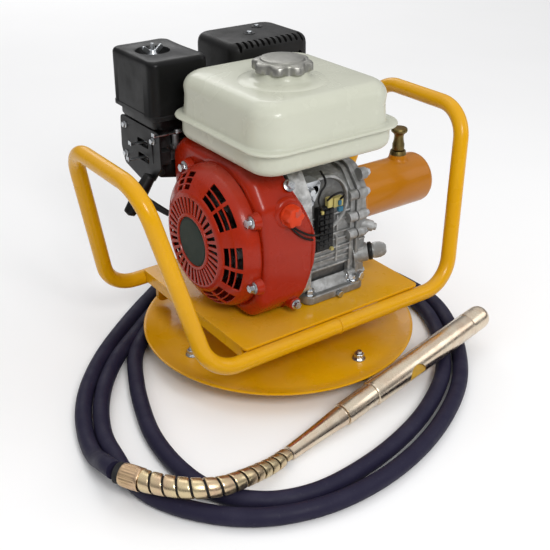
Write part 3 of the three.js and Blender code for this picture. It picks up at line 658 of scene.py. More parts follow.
def build_block():
    case = [(-62, -96), (-62, 40), (-40, 66), (33, 76), (79, -24), (88, -60), (88, -96)]
    bm = bmesh.new()
    prism(bm, rounded(case, [6, 14, 18, 20, 14, 12, 6]), -22, 70)
    block = engine_piece("crankcase_looks", bm, ALU, "crankcase", bevel=2.2, segments=3)
    # hollow above the foot on the near side
    cutter = bmesh.new()
    prism(cutter, [(-70, -90), (-57, -90), (-57, -82), (-59, -68), (-70, -68)], -14, 62)
    carve(block, cutter, at=ENGINE)
    bm = bmesh.new()
    prism(bm, rect(-21, 82, -80, 108, 12), -106, -93.4, "Z")
    engine_piece("crankcase_foot", bm, ALU, bevel=2.5, segments=3)
    bm = bmesh.new()
    for z, out in ((-64, 4), (-54, 2.4), (-46, 2.4), (-38, 3), (-26, 2.4), (-16, 3), (2, 2), (14, 3)):
        # stiffening ribs on the near side of the case
        box(bm, (-18, -62 - out, z), (66, -60, z + 2.6))
    prism(bm, [(-61, -94), (-72, -94), (-66, -84), (-61, -80)], -12, 60)
    for x in (-13, 61):
        box(bm, (x - 2, -68, -97), (x + 2, -60, -60))
    for z0, z1 in ((-58, -20), (-12, 12)):
        box(bm, (38, -66, z0), (41, -60, z1))
    # flanges on both sides of the split, with lugs round the screws
    split = rounded([(-66, -100), (-66, 42), (-42, 70), (35, 80), (84, -24), (92, -62), (92, -100)],
                    [8, 14, 18, 20, 14, 12, 8])
    prism(bm, split, 62, 69.6)
    for y, z in ((-66, 36), (-67, 4), (-67, -22), (-67, -84)):
        rod(bm, (56, y, z), (69.6, y, z), 7.5, 28)
    rod(bm, (-6, -60, 62), (-6, -72, 62), 8, 28, 7)
    engine_piece("crankcase_ribs", bm, ALU, bevel=0.9)
    # round boss behind the plugs, with a bright machined rim
    bm = bmesh.new()
    spin(bm, [(43, -2), (42, 5), (41, 6), (38.6, 6), (37.8, 5), (36.4, 2), (20, 1), (0, 1)], (0, -1, 0),
         (14, -62, 34), 72)
    engine_piece("crankcase_boss", bm, ALU, angle=35)

    cover = [(-68, -98), (-68, 44), (-43, 72), (36, 82), (86, -24), (94, -98)]
    bm = bmesh.new()
    steps = [(70.3, -2), (76.4, -2), (77, 0), (85, 0), (87, 0.8), (89, 2.6), (90, 5.6)]
    shape = rounded(cover, [10, 16, 20, 22, 16, 10], 8)
    outlines = []
    for x, inset in steps:
        scale = 1 - inset / 84
        outlines.append([(x, p[0] * scale, p[1] * scale) for p in shape])
    loft(bm, outlines)
    spin(bm, [(0, 80), (62, 80), (60.6, 93), (60, 96), (59, 97), (0, 97)], "X", segments=96)
    axis = Vector((15, -10, 2.5)).normalized()
    start = Vector((78, -57, -60.5))
    spin(bm, [(16, 0), (14, 12), (13.2, 20.6), (12.4, 21), (0, 21)], axis, start - axis * 1.2, 40)
    screws = ((-66, 36), (-67, 4), (-67, -22), (-62, -88), (-20, 72), (28, 76), (62, 30), (80, -16),
              (86, -88), (12, -90))
    for y, z in screws:
        rod(bm, (70.5, y, z), (86, y, z), 8.6, 28, 7.6)
    rod(bm, (76, -62, 62), (88, -62, 62), 9, 32, 8)
    # lug with a round end beside the filler
    rod(bm, (84, -60, -14), (100, -70, -19), 9, 32, 7.6)
    rod(bm, (99, -69.4, -18.7), (104, -72.5, -20), 5.4, 28, 5)
    for z in (-70, -50, -34):
        box(bm, (74, -71, z), (86, -62, z + 3))
    engine_piece("crankcase_cover_looks", bm, ALU, "crankcase_cover", bevel=1.2, angle=38)
    heads = [(85.8, y, z) for y, z in screws] + [(87.8, -62, 62)]
    bolts("crankcase_cover_bolts", [(at, (1, 0, 0), 9, 5, 6.8) for at in heads])
    heads = [((x, y, -93.4), (0, 0, 1), 12, 7, 10.5, 4) for x, y in ((-10, -70), (66, -70), (-10, 98),
                                                                     (66, 98))]
    bolts("engine_mounting_bolts", heads + [((34, -78, -101), (0, -1, 0), 9, 6, 7.5),
                                            ((-12, -68, -84), (0, -1, 0), 8, 4, 6),
                                            ((60, -70, -86), (-0.1, -1, 0.2), 8, 4, 6)])

    bm = bmesh.new()
    rod(bm, (20, 60, 0), (20, 146, 0), 40, 64)
    for i in range(5):
        prism(bm, rect(-21, 70, -50, 50, 8), 76 + i * 14, 79 + i * 14, "Y")
    engine_piece("cylinder_looks", bm, ALU, "cylinder", turn=TILTED, bevel=0.7)
    bm = bmesh.new()
    prism(bm, rect(-20, 62, -58, 40, 8), 146.3, 184, "Y")
    for i in range(3):
        prism(bm, rect(-21, 72, -62, 46, 10), 152 + i * 11, 155 + i * 11, "Y")
    engine_piece("cylinder_head_looks", bm, ALU, "cylinder_head", turn=TILTED, bevel=0.7)
    bm = bmesh.new()
    levels = [(184.3, -3), (187, -3), (187.4, 0)] + [(199 + 7 * rise, 7 * fall) for rise, fall in quarter(8)]
    loft(bm, [[(p[0], y, p[1]) for p in rect(-17 + i, 58 - i, -38 + i, 34 - i, 13)] for y, i in levels])
    engine_piece("valve_cover_looks", bm, ALU, "valve_cover", turn=TILTED, angle=45)
    heads = [((x, 187, z), (0, 1, 0), 9, 5, 6.5) for x, z in ((-15, -36), (56, -36), (-15, 32), (56, 32))]
    bolts("valve_cover_bolts", heads, turn=TILTED)


# ---------------------------------------------------------------- blower cover and recoil starter
SHROUD = [(-60, -104), (-92, -74), (-96, 0), (-90, 62), (-66, 96), (-38, 106), (100, 106), (124, 86),
          (124, -10), (104, -56), (52, -104)]
# the cover's edge on the near side as (x, z), closed beyond the engine side
NEAR_EDGE = [(-10, -112), (-50, -104), (-46, -92), (-42, -80), (-36, -64), (-29, -44), (-25, -28),
             (-23.4, -12), (-23.4, 6), (-25.4, 18), (-29, 28), (-35, 42), (-42, 56), (-49, 70), (-54, 84),
             (-57, 98), (-57, 114), (-10, 114)]


def reach_at(z):
    """How far towards the near side the blower cover's skin stands at a height."""
    near = [p for p in SHROUD if p[0] < -30]
    near.sort(key=lambda p: p[1])
    for (y0, z0), (y1, z1) in zip(near, near[1:]):
        if z <= z1:
            return -(y0 + (y1 - y0) * max(0.0, (z - z0) / (z1 - z0)))
    return -near[-1][0]


def reach_of(outline, angle):
    """How far the outline is from the origin in that direction of the (y, z) plane."""
    d = Vector((math.cos(angle), math.sin(angle)))
    best = 0.0
    for a, b in zip(outline, outline[1:] + outline[:1]):
        a, b = Vector(a), Vector(b)
        e = b - a
        cross = d.x * e.y - d.y * e.x
        if abs(cross) < 1e-9:
            continue
        t = (a.x * e.y - a.y * e.x) / cross
        s = (a.x * d.y - a.y * d.x) / cross
        if t > 0 and -1e-6 <= s <= 1 + 1e-6:
            best = max(best, t)
    return best


def ring_maker(outline, count, place):
    """Gives ring(height, inset or radius): the outline inset, or a circle, put in space by place."""
    angles = [TAU * k / count for k in range(count)]
    reach = [reach_of(outline, a) for a in angles]

    def ring(height, inset=None, radius=None):
        radii = [far - inset if radius is None else radius for far in reach]
        return [place(height, r * math.cos(a), r * math.sin(a)) for r, a in zip(radii, angles)]

    return ring


def build_shroud():
    ring = ring_maker(rounded(SHROUD, 22, 10), 240, lambda x, y, z: (x, y, z))
    rings = [ring(x, 0) for x in (-22.3, -40, -60, -80)]
    fillet = 15
    rings += [ring(-(108 - fillet) - fillet * rise, fillet * fall) for rise, fall in quarter(8)]
    rings += [ring(-107.9, radius=101), ring(-107.4, radius=100.4), ring(-107.4, radius=82),
              ring(-106.4, radius=80), ring(-104, radius=80), ring(-104, radius=84)]
    rings += [ring(-103, 16), ring(-98, 6), ring(-90, 3), ring(-24, 3), ring(-22.3, 2.6)]
    bm = bmesh.new()
    loft(bm, rings, loop=True)
    cover = engine_piece("blower_cover_looks", bm, RED, "blower_cover", angle=50)

    def edge_cutter():
        made = bmesh.new()
        prism(made, NEAR_EDGE, -130, -42, "Y")
        return made

    carve(cover, edge_cutter(), at=ENGINE)
    # aluminium ring behind the cover's edge
    bm = bmesh.new()
    loft(bm, [ring(-46, 4.5), ring(-22.5, 4.5), ring(-22.5, 34), ring(-46, 34)], loop=True)
    engine_piece("blower_back_ring", bm, ALU, angle=50)
    bead("blower_cover_edge", [(x, -(reach_at(z) - 0.4), z) for x, z in NEAR_EDGE[1:-2]], 1.4, "frame", RED,
         at=ENGINE)
    bm = bmesh.new()
    # rolled edge where the cover meets the engine
    loft(bm, [ring(-22.6, 0.2), ring(-22.6, -1.6), ring(-25, -2.2), ring(-27.4, -1.6), ring(-28.4, 0.2)],
         loop=True)
    rim = engine_piece("blower_cover_rim", bm, RED, angle=50)
    carve(rim, edge_cutter(), at=ENGINE)
    bolts("blower_cover_bolts", [((-54, -79.6, 82.6), (0, -0.8, 0.6), 10, 6, 8),
                                 ((-46, -86.6, -89), (0, -1, 0), 9, 5, 7)])
    bm = bmesh.new()
    rod(bm, (-46, -70, -89), (-46, -86.4, -89), 10, 32, 8.6)
    engine_piece("blower_cover_lug", bm, RED, bevel=1.2)
    # raised boss behind the stop switch
    bm = bmesh.new()
    spin(bm, [(23, -4), (21.5, 0), (19, 2.4), (16, 3), (0, 3)], (0, -1, 0),
         (SWITCH_AT[0], -90.6, SWITCH_AT[1]), 64)
    engine_piece("stop_switch_boss", bm, RED)
    bm = bmesh.new()
    rings = []
    for h, r, wave in ((4, 14.6, 0), (6, 14.6, 0), (6.3, 13.6, 0.9), (15, 13.2, 1.4), (17.6, 12, 1.3),
                       (18.2, 10.4, 0.8), (18.3, 0.01, 0)):
        reach = [r + wave * math.cos(6 * TAU * k / 96) for k in range(96)]
        rings.append([(SWITCH_AT[0] + far * math.cos(TAU * k / 96), -94 + 4 - h,
                       SWITCH_AT[1] + far * math.sin(TAU * k / 96))
                      for k, far in enumerate(reach)])
    loft(bm, rings)
    box(bm, (-64.4, -108.9, 52), (-61.6, -107.6, 59))
    engine_piece("stop_switch_looks", bm, SWITCH_RED, "stop_switch_knob", "stop_switch", angle=35)

    build_recoil()


def recoil_x(r):
    """How far out the recoil housing's face stands at a radius."""
    points = [(34, -152), (62, -150.9), (66, -149.6), (69, -147.2), (74, -144), (80, -140.6), (86, -136.6),
              (91, -131), (95, -124.5), (97, -118), (98, -108.4)]
    for (r0, x0), (r1, x1) in zip(points, points[1:]):
        if r <= r1:
            return x0 + (x1 - x0) * (r - r0) / (r1 - r0)
    return points[-1][1]


def build_recoil():
    columns = 432
    rows = [34, 36, 39, 60, 62, 64, 66, 67.5, 69.6, 75.4, 77, 82.8, 84.4, 90.2, 92, 94, 95.5, 96.5, 97.3, 98]
    # windows: three curved rows in two columns, in groups that face outwards
    groups = [(30, 50), (53, 73), (-30, -10), (-7, 13), (-82, -62), (-59, -39), (100, 112), (115, 127),
              (152, 172), (175, 195), (212, 232), (235, 255)]
    bm = bmesh.new()
    grid = []
    for r in rows:
        line = []
        for k in range(columns):
            a = TAU * k / columns
            line.append(bm.verts.new((recoil_x(r), -r * math.cos(a), r * math.sin(a))))
        grid.append(line)
    for i in range(len(rows) - 1):
        middle = (rows[i] + rows[i + 1]) / 2
        for k in range(columns):
            degrees = 360 * (k + 0.5) / columns
            if 39 < middle < 60 and (k % 12) in (3, 4, 5, 6, 7, 8):
                continue
            if 69.6 < middle < 75.4 or 77 < middle < 82.8 or 84.4 < middle < 90.2:
                if any(lo <= (degrees - lo) % 360 + lo <= hi for lo, hi in groups):
                    continue
            j = (k + 1) % columns
            bm.faces.new((grid[i][k], grid[i][j], grid[i + 1][j], grid[i + 1][k]))
    bmesh.ops.translate(bm, vec=ENGINE, verts=bm.verts)
    bmesh.ops.recalc_face_normals(bm, faces=bm.faces)
    # the grid's normals point away from the engine
    if sum(f.normal.x for f in bm.faces) > 0:
        bmesh.ops.reverse_faces(bm, faces=bm.faces)
    housing = add_object("recoil_housing_looks", bm)
    housing.data.shade_smooth()
    housing.data.materials.append(RED)
    thick = housing.modifiers.new("thick", "SOLIDIFY")
    thick.thickness = 2.4 * MM
    thick.offset = -1
    soften(housing, 0.45, 2, 50)
    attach(housing, "frame")
    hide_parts("recoil_housing")
    bm = bmesh.new()
    spin(bm, [(0, -152.4), (6, -152.5), (30, -152.5), (31, -152.4), (31.4, -151.8), (32.4, -151.8),
              (33.5, -151.2), (33.5, -148), (0, -148)], "X", segments=96)
    engine_piece("starter_disc_looks", bm, PLAIN_DISC, "starter_centre_disc")
    bm = bmesh.new()
    spin(bm, [(33.6, -151), (34.4, -153.2), (36.6, -153.6), (38.6, -152.6), (39, -151)], "X", segments=96)
    engine_piece("starter_disc_rim", bm, RED)
    # four lugs with flange bolts hold the housing to the cover
    bm = bmesh.new()
    lugs = []
    for y, z in ((-83, 48.4), (-87, -35.6), (70, -66), (66, 70)):
        out = Vector((0, y, z)).normalized()
        lugs.append((y + out.y * 6, z + out.z * 6))
        rod(bm, (-107.8, *lugs[-1]), (-118, *lugs[-1]), 12, 40, 10)
    engine_piece("recoil_lugs", bm, RED, bevel=1.4)
    bolts("recoil_bolts", [((-118, y, z), (-1, 0, 0), 10, 6, 8.5) for y, z in lugs])
    # pull handle: rope stem and T grip
    bm = bmesh.new()
    a, b = Vector((-174, 138, -7)), Vector((-134, 138, 46))
    w = (b - a).normalized()
    long = (b - a).length
    u, v = frame_of(w)
    rings = []
    for k in range(25):
        t = k / 24
        swell = 9.0 + 1.6 * math.sin(math.pi * t) ** 2
        cap_end = min(1.0, math.sqrt(max(0.0, 1 - (1 - min(t, 1 - t) * 14) ** 2))
                      if min(t, 1 - t) < 1 / 14 else 1.0)
        r = max(swell * cap_end, 0.6)
        centre = a + w * (long * t)
        rings.append([centre + (u * math.cos(TAU * i / 36) * r * 0.92 + v * math.sin(TAU * i / 36) * r)
                      for i in range(36)])
    loft(bm, rings)
    spin(bm, [(4.2, 0), (4.6, 14), (5.4, 32), (7.4, 44), (6, 47)], Vector((-26, 37, 20)), (-130, 99.5, -2),
         32)
    engine_piece("pull_handle_looks", bm, BLACK, "pull_handle", "pull", angle=60)


# ---------------------------------------------------------------- fuel tank
def build_tank():
    levels = crowned(110, 140.6, -115, 101, -113, 101, 34, 14, 0.8, 8)
    levels += [(141, -116, 102, -114, 102, 35), (141, -121.4, 107.4, -119.4, 107.4, 36),
               (141.6, -122.4, 108.4, -120.4, 108.4, 37), (143, -122.8, 108.8, -120.8, 108.8, 37),
               (144.4, -122.2, 108.2, -120.2, 108.2, 37), (145, -121, 107, -119, 107, 36),
               (145, -116.6, 98.6, -116.6, 104.6, 40), (145.6, -115, 97, -115, 103, 40)]
    for t in range(4):
        levels.append((148 + t * 8, -114 + t * 0.5, 96 - t * 0.5, -114 + t * 0.5, 102 - t * 0.5, 40))
    fillet = 20
    for rise, fall in quarter(14, 1):
        i = 1.5 + fillet * fall
        levels.append((180 + fillet * rise, -114 + i, 96 - i, -114 + i, 102 - i, max(38 - i * 0.7, 12)))
    levels += [(200.5, -84, 66, -84, 72, 22), (200.9, -70, 52, -70, 58, 20), (201.1, -50, 32, -50, 38, 16)]
    bm = bmesh.new()
    stack(bm, levels, 12)
    engine_piece("fuel_tank_looks", bm, CREAM, "fuel_tank", angle=60)
    # pressed plateau and filler neck
    bm = bmesh.new()
    spin(bm, [(0, 199), (60, 199.4), (57, 200.9), (53, 202), (48, 202.6), (43, 203), (39.6, 203.6),
              (36.4, 205.4), (34.6, 208.6), (33.4, 213.4), (25, 213.6), (25, 218), (0, 218)], "Z",
              (*CAP_AT, 0), 96)
    engine_piece("tank_neck", bm, CREAM, angle=50)
    bm = bmesh.new()
    rings = []
    for z, r, wave in ((213.6, 32, 0), (213.9, 36.4, 1.6), (214.6, 37, 2.2), (222.6, 36.8, 2.2),
                       (224.6, 35.6, 1.8), (225.8, 33.4, 1.0), (226.2, 30.5, 0), (226.0, 29.4, 0),
                       (226.4, 28.6, 0), (228.2, 27.4, 0), (228.7, 25.4, 0), (228.8, 12, 0),
                       (228.8, 0.01, 0)):
        ring = []
        for k in range(192):
            a = TAU * k / 192
            lobe = wave * math.cos(8 * a)
            lobe = lobe if lobe > 0 else lobe * 1.5
            ring.append((CAP_AT[0] + (r + lobe) * math.cos(a), CAP_AT[1] + (r + lobe) * math.sin(a), z))
        rings.append(ring)
    loft(bm, rings)
    engine_piece("filler_cap_looks", bm, CAP_METAL, "filler_cap", "cap", angle=40)


# ---------------------------------------------------------------- intake and exhaust
def build_intake():
    bm = bmesh.new()
    levels = [(112, -128, -56, 122, 222, 12), (112.6, -130.4, -53.6, 119.6, 224.4, 12),
              (116, -132, -52, 118, 226, 12), (126.4, -132, -52, 118, 226, 12),
              (127, -131.4, -52.6, 118.6, 225.4, 12)]
    stack(bm, levels)
    stack(bm, [(92, -116, -80, 132, 184, 6), (98, -120, -77, 128, 189, 7), (112.5, -124, -72, 122, 200, 9)])
    engine_piece("air_cleaner_base_looks", bm, BLACK, "air_cleaner_base", bevel=0.8)
    # cover with a rim at its foot, a rounded top and a dished hole for the wing nut
    bm = bmesh.new()
    outer = rect(-138, -46, 112, 234, 13, 10)
    shifted = [(p[0] - FILTER_AT[0], p[1] - FILTER_AT[1]) for p in outer]
    ring = ring_maker(shifted, 160, lambda z, x, y: (FILTER_AT[0] + x, FILTER_AT[1] + y, z))
    rings = [ring(127.3, 0.6), ring(127.8, -0.4), ring(133, -0.4), ring(134, 0.8), ring(196, 1.6)]
    rings += [ring(200 + 7.6 * rise, 1.6 + 7.6 * fall) for rise, fall in quarter(8, 1)]
    rings += [ring(207.8, 12), ring(208, radius=26), ring(207.2, radius=24), ring(198, radius=20.6),
              ring(196.6, radius=19.4), ring(196, radius=18),
              ring(196, radius=8), ring(197.4, radius=6.4), ring(197.4, radius=0.01)]
    loft(bm, rings)
    engine_piece("air_cleaner_cover_looks", bm, BLACK, "air_cleaner_cover", angle=40)
    bm = bmesh.new()
    spin(bm, [(0, 197.6), (8, 197.6), (8, 199), (7.4, 199.4), (5.4, 206), (4.6, 208), (0, 208)], "Z",
         segments=32)
    for s in (-1, 1):
        outline = rounded([(s * 3, 200), (s * 9, 203), (s * 15.5, 209), (s * 15, 214.5), (s * 11, 214),
                           (s * 3, 207)], 2.2)
        prism(bm, outline, -1.6, 1.6, "Y")
    rod(bm, (0, 0, 200), (0, 0, 217), 3, 20, 2.7)
    piece("wing_nut_looks", bm, ZINC, "nut", "wing_nut", at=ENGINE + Vector((*FILTER_AT, 0)), bevel=0.5)

    bm = bmesh.new()
    box(bm, (-112, 130, 62), (-66, 186, 91.7))
    box(bm, (-112, 156, 48), (-90, 180, 66))
    box(bm, (-126, 160, 76), (-111, 176, 82))
    box(bm, (-126, 160, 54), (-111, 176, 60))
    rod(bm, (-104, 116.5, 86), (-104, 116.5, 106), 5, 24)
    box(bm, (-110, 112, 84), (-92, 132, 90))
    engine_piece("carburettor_looks", bm, ALU_DARK, "carburettor", bevel=1.8, segments=3)
    bm = bmesh.new()
    spin(bm, [(0, 39.6), (10, 39.6), (16, 41), (18.6, 44.6), (19, 48), (19, 62), (20.4, 62.4), (20.4, 65),
              (0, 65)], "Z", (-88, 158, 0), 56)
    hexagon(bm, (-88, 158, 36), (0, 0, 1), 10, 4)
    engine_piece("carburettor_bowl", bm, ALU, angle=40)
    heads = [((-112, y, z), (-1, 0, 0), 7, 4, 5) for y, z in ((138, 78), (178, 70), (146, 68))]
    bolts("carburettor_screws", heads + [((x, 130, z), (0, -1, 0), 7, 4, 5)
                                         for x, z in ((-76, 78), (-94, 70))])
    for name, body, node, x, y, z, reach_x in (("choke_lever_looks", "choke", "choke_lever", -120, 168,
                                                82.3, 28),
                                               ("fuel_lever_looks", "fuel", "fuel_lever", -120, 168, 60.3,
                                                33),
                                               ("throttle_lever_looks", "throttle", "throttle_lever", -100,
                                                116.5, 106.5, 38)):
        bm = bmesh.new()
        spin(bm, [(0, 0), (6, 0), (6.4, 0.6), (6.4, 2.4), (5, 2.8), (4.6, 5.4), (0, 5.8)], "Z", (x, y, z), 28)
        tip = x - reach_x
        arm = [(x + 3, y - 4.4), (tip + 3, y - 3), (tip - 1, y - 4), (tip - 1, y + 4), (tip + 3, y + 3),
               (x + 3, y + 4.4)]
        prism(bm, rounded(arm, 1.8), z + 0.2, z + 2.0, "Z")
        box(bm, (tip - 1, y - 4, z + 0.2), (tip + 0.8, y + 4, z + 6.4))
        engine_piece(name, bm, ZINC, node, body, bevel=0.5)
    bm = bmesh.new()
    prism(bm, rounded([(-134, 104), (-132, 62), (-124, 40), (-96, 34), (-70, 40), (-66, 104)], 9), 132, 137,
          "Y")
    prism(bm, rounded([(132, 36), (132, 110), (196, 110), (190, 52), (170, 36)], 10), -116, -112.2, "X")
    rod(bm, (-118, 150, 92), (-118, 150, 112), 9, 32, 12)
    rod(bm, (-130, 140, 70), (-112, 140, 70), 7, 24)
    rod(bm, (-126, 134, 52), (-126, 120, 52), 5, 24)
    box(bm, (-130, 122, 86), (-108, 140, 104))
    engine_piece("carburettor_plate", bm, BLACK, bevel=1.2)
    # black side cover, slotted where the two levers come through
    side = rounded([(112, 111), (226, 111), (229, 62), (221, 38), (176, 27), (136, 34), (112, 60)], 8)
    bm = bmesh.new()
    prism(bm, side, -131.6, -128.8, "X")
    cover = engine_piece("carburettor_side_cover", bm, BLACK, bevel=0.6)
    cutter = bmesh.new()
    for low in (79.5, 57.5):
        prism(cutter, rect(146, 177, low, low + 10, 3), -140, -120, "X")
    carve(cover, cutter, at=ENGINE)
    bm = bmesh.new()
    box(bm, (-128.8, 187, 40), (-104, 222, 110))
    box(bm, (-128.8, 114, 64), (-113, 128, 84))
    engine_piece("carburettor_side_block", bm, BLACK, bevel=1.5)
    bolts("carburettor_cover_screws", [((-131.6, y, z), (-1, 0, 0), 7, 3, 5)
                                       for y, z in ((212, 98), (214, 54), (130, 96))])
    # bracket between the tank and the air cleaner
    bm = bmesh.new()
    prism(bm, rounded([(-62, 97), (-30, 97), (-30, 134), (-46, 134), (-62, 118)], 5), 103, 108, "Z")
    engine_piece("tank_bracket", bm, ALU, bevel=1.0)

    bm = bmesh.new()
    stack(bm, crowned(130, 190, 10, 120, 128, 216, 22, 12, 12))
    engine_piece("muffler_looks", bm, STEEL, "muffler", angle=50)
    bm = bmesh.new()
    levels = [(128, -4, 132, 118, 230, 20), (150, -4, 132, 118, 230, 20), (196, -3, 131, 119, 229, 18)]
    for rise, fall in quarter(8, 1):
        i = 1 + 11 * fall
        levels.append((198 + 12 * rise, -4 + i, 132 - i, 118 + i, 230 - i, max(20 - i * 0.6, 6)))
    stack(bm, levels, 8)
    guard = engine_piece("muffler_guard_looks", bm, BLACK_PAINT, "muffler_guard", angle=50)
    cutter = bmesh.new()
    stack(cutter, [(120, -1.5, 129.5, 120.5, 227.5, 17), (192, -1, 129, 121, 227, 16),
                   (204, 6, 122, 128, 220, 12)], 8)
    carve(guard, cutter, at=ENGINE)
    cutter = bmesh.new()
    for i in range(9):
        x = 8 + i * 12.5
        prism(cutter, rect(x, x + 6, 164, 188, 2.6), 108, 124.6, "Y")
    for i in range(12):
        x = 8 + i * 9.6
        prism(cutter, rect(x, x + 4.6, 120, 134, 2), 198, 214, "Z")
    for i in range(6):
        y = 134 + i * 15
        prism(cutter, rect(y, y + 7, 144, 190, 3), 126, 136, "X")
    carve(guard, cutter, at=ENGINE)
    # screws in round recesses on the guard's top
    bm = bmesh.new()
    recess = bmesh.new()
    for x, y in ((57, 170), (89, 198)):
        spin(recess, [(8.6, 209.4), (8.6, 210.6), (7.8, 211), (0, 210.3), (0, 209.4)], "Z", (x, y, 0), 32)
        hexagon(bm, (x, y, 210.2), (0, 0, 1), 7, 3)
    engine_piece("muffler_guard_recesses", recess, BLACK, angle=30)
    engine_piece("muffler_guard_screws", bm, ZINC, angle=30)


# ---------------------------------------------------------------- electrics and small parts
def build_small_parts():
    bm = bmesh.new()
    box(bm, (-1, -74, -30), (26, -66, 34))
    random.seed(7)
    for row in range(8):
        z = -26 + row * 7.2
        for x in (1, 9, 17):
            out = random.uniform(1.0, 3.2)
            box(bm, (x, -74 - out, z), (x + random.uniform(5.5, 7.2), -72, z + random.uniform(4.2, 6.2)))
    engine_piece("oil_alert_box_looks", bm, BLACK, "oil_alert_box", bevel=0.8)
    bm = bmesh.new()
    box(bm, (14, -76, 32), (22, -68, 46))
    box(bm, (24, -76, 30), (40, -68, 44))
    box(bm, (2, -78.4, 26), (6, -74, 31))
    box(bm, (20, -78, -32), (25, -70, -27))
    engine_piece("alert_plug_pale", bm, TAPE, bevel=1.2)
    bm = bmesh.new()
    box(bm, (29, -80, 24), (37, -75, 31))
    box(bm, (30, -79, 33), (35, -75.6, 40))
    engine_piece("alert_plug_blue", bm, BLUE, bevel=1.2)
    # wires from the switch and from the plug
    wires = [("switch_lead", [(-62, -93.6, 33), (-55, -97, 24), (-42, -98.5, 13), (-24, -95, 4),
                              (-6, -84, -6), (2, -74, -12)]),
             ("switch_lead_b", [(-59, -93.6, 33), (-51, -98, 26), (-37, -99, 17), (-19, -94, 9),
                                (-4, -82, 2), (4, -74, 0)]),
             ("alert_lead", [(8, -74, 30), (0, -78, 38), (-6, -80, 50), (-2, -80, 62), (6, -78, 68),
                             (10, -72, 74), (10, -62, 82)]),
             ("alert_lead_b", [(33, -78, 42), (34, -84, 50), (26, -86, 56), (16, -82, 52), (12, -76, 44)])]
    for name, route in wires:
        bm = bmesh.new()
        sweep(bm, smooth_path(route, 10), 1.5, 12)
        engine_piece(name, bm, BLACK)
    # zinc bracket for the tank's front foot
    bm = bmesh.new()
    prism(bm, rounded([(-27, 44), (-27, 72), (4, 74), (2, 62), (-8, 40), (-20, 36)], 4), -72, -69.6, "Y")
    box(bm, (-24, -72, 72), (0, -52, 75))
    engine_piece("tank_front_bracket", bm, ZINC, bevel=0.6)
    bolts("tank_front_bolt", [((-14, -72, 62), (0, -1, 0), 9, 5, 6.8)])
    bm = bmesh.new()
    box(bm, (-84, -16, 85), (-54, 16, 98))
    box(bm, (-78, -11, 80), (-60, 11, 86))
    engine_piece("ignition_coil_looks", bm, BLACK, "ignition_coil", bevel=1.5)
    bm = bmesh.new()
    spin(bm, [(0, 184.3), (7.5, 184.3), (7.5, 190), (6.4, 191), (6.4, 200), (9, 201), (9.4, 206), (9, 226),
              (7, 228), (0, 228)], "Y", (20, 0, -50), 36)
    engine_piece("spark_plug_looks", bm, BLACK, "spark_plug", turn=TILTED)
    axis = Vector((24, -16, 4)).normalized()
    start = Vector((95, -68, -57.5))
    bm = bmesh.new()
    spin(bm, [(11.4, 0.2), (12.6, 0.6), (13, 2), (13, 4.6), (12.4, 5.6), (11.6, 6), (9, 6)], axis, start, 40)
    engine_piece("dipstick_seal", bm, BLACK, body="oil_plug")
    bm = bmesh.new()
    spin(bm, [(0, 5.8), (10.6, 5.8), (10.6, 7.6), (9.4, 8.6), (0, 8.8)], axis, start, 40)
    side = axis.cross(Vector((0, 0, 1))).normalized()
    up = side.cross(axis).normalized()
    wing = []
    for t, half, thick in ((7.5, 12.5, 3.4), (12, 13, 2.8), (18, 12.4, 2.4), (23.5, 10, 2.1), (26.6, 6, 1.6)):
        centre = start + axis * t
        wing.append([centre + up * (half * math.cos(a)) + side * (thick * math.sin(a))
                     for a in (TAU * k / 32 for k in range(32))])
    loft(bm, wing)
    engine_piece("dipstick_looks", bm, ALU, "dipstick", "oil_plug", angle=50)
    bm = bmesh.new()
    spin(bm, [(0, 0), (7, 0), (7, 6), (6, 7), (0, 7)], Vector((0.3, -1, 0)), (70, -78, -84), 6)
    engine_piece("drain_plug", bm, ZINC)


# ---------------------------------------------------------------- coupling
def build_coupling():
    bm = bmesh.new()
    profile = [(16, 97.3), (53, 97.3), (54, 98.2), (54, 103.4), (52.8, 105), (48, 105), (44, 106.4),
               (40.6, 109), (38.6, 113), (38, 118), (38, 160), (38, 240), (37.2, 243.4), (35, 247),
               (33, 248.6), (31.5, 249), (22.8, 249), (21.4, 247.6), (21.4, 152), (26, 150), (26, 108),
               (16, 106)]
    spin(bm, profile, "X", segments=128, closed=True)
    # the housing takes the darker copy of the yellow enamel, which is painted shade
    engine_piece("coupling_housing_looks", bm, YELLOW_SHADED, "coupling_housing", angle=40)
    bm = bmesh.new()
    spin(bm, [(17, 0), (15, 2.4), (13.6, 5), (13, 8), (12.6, 9.4), (11.4, 10), (9.4, 10)], "Z",
         (PIN_X, 0, 34.4), 64)
    # the boss takes the yellow enamel darkened as painted shade
    engine_piece("lock_pin_boss", bm, YELLOW_SHADED)
    bm = bmesh.new()
    spin(bm, [(9.8, 40), (12.2, 40), (12.2, 46.6), (11.6, 47.4), (11.6, 49), (10.8, 50), (8.8, 50),
              (8.8, 46)], "Z", (PIN_X, 0, 0), 48)
    engine_piece("lock_pin_bush", bm, BRONZE)
    turns = [math.radians(45 + 90 * k) for k in range(4)]
    bolts("coupling_bolts", [((104.8, 47 * math.cos(a), 47 * math.sin(a)), (1, 0, 0), 8, 4, 5.6)
                             for a in turns])
    bm = bmesh.new()
    spin(bm, [(0, 23), (5, 23), (5.6, 24), (6, 26), (6, 50.4), (8.5, 50.6), (9, 51.4), (9, 60), (8.2, 62),
              (7.2, 67), (6.9, 72), (7.8, 75.4), (10.4, 77.8), (11.9, 79.2), (12.2, 81), (11.8, 83.4),
              (10.6, 84.6), (0, 85)], "Z", (PIN_X, 0, 0), 48)
    engine_piece("lock_pin_looks", bm, BRONZE, "lock_pin", "lock", angle=40)


# ---------------------------------------------------------------- hose
LIE = -14.7                            # height of the hose's centre where it lies on the floor
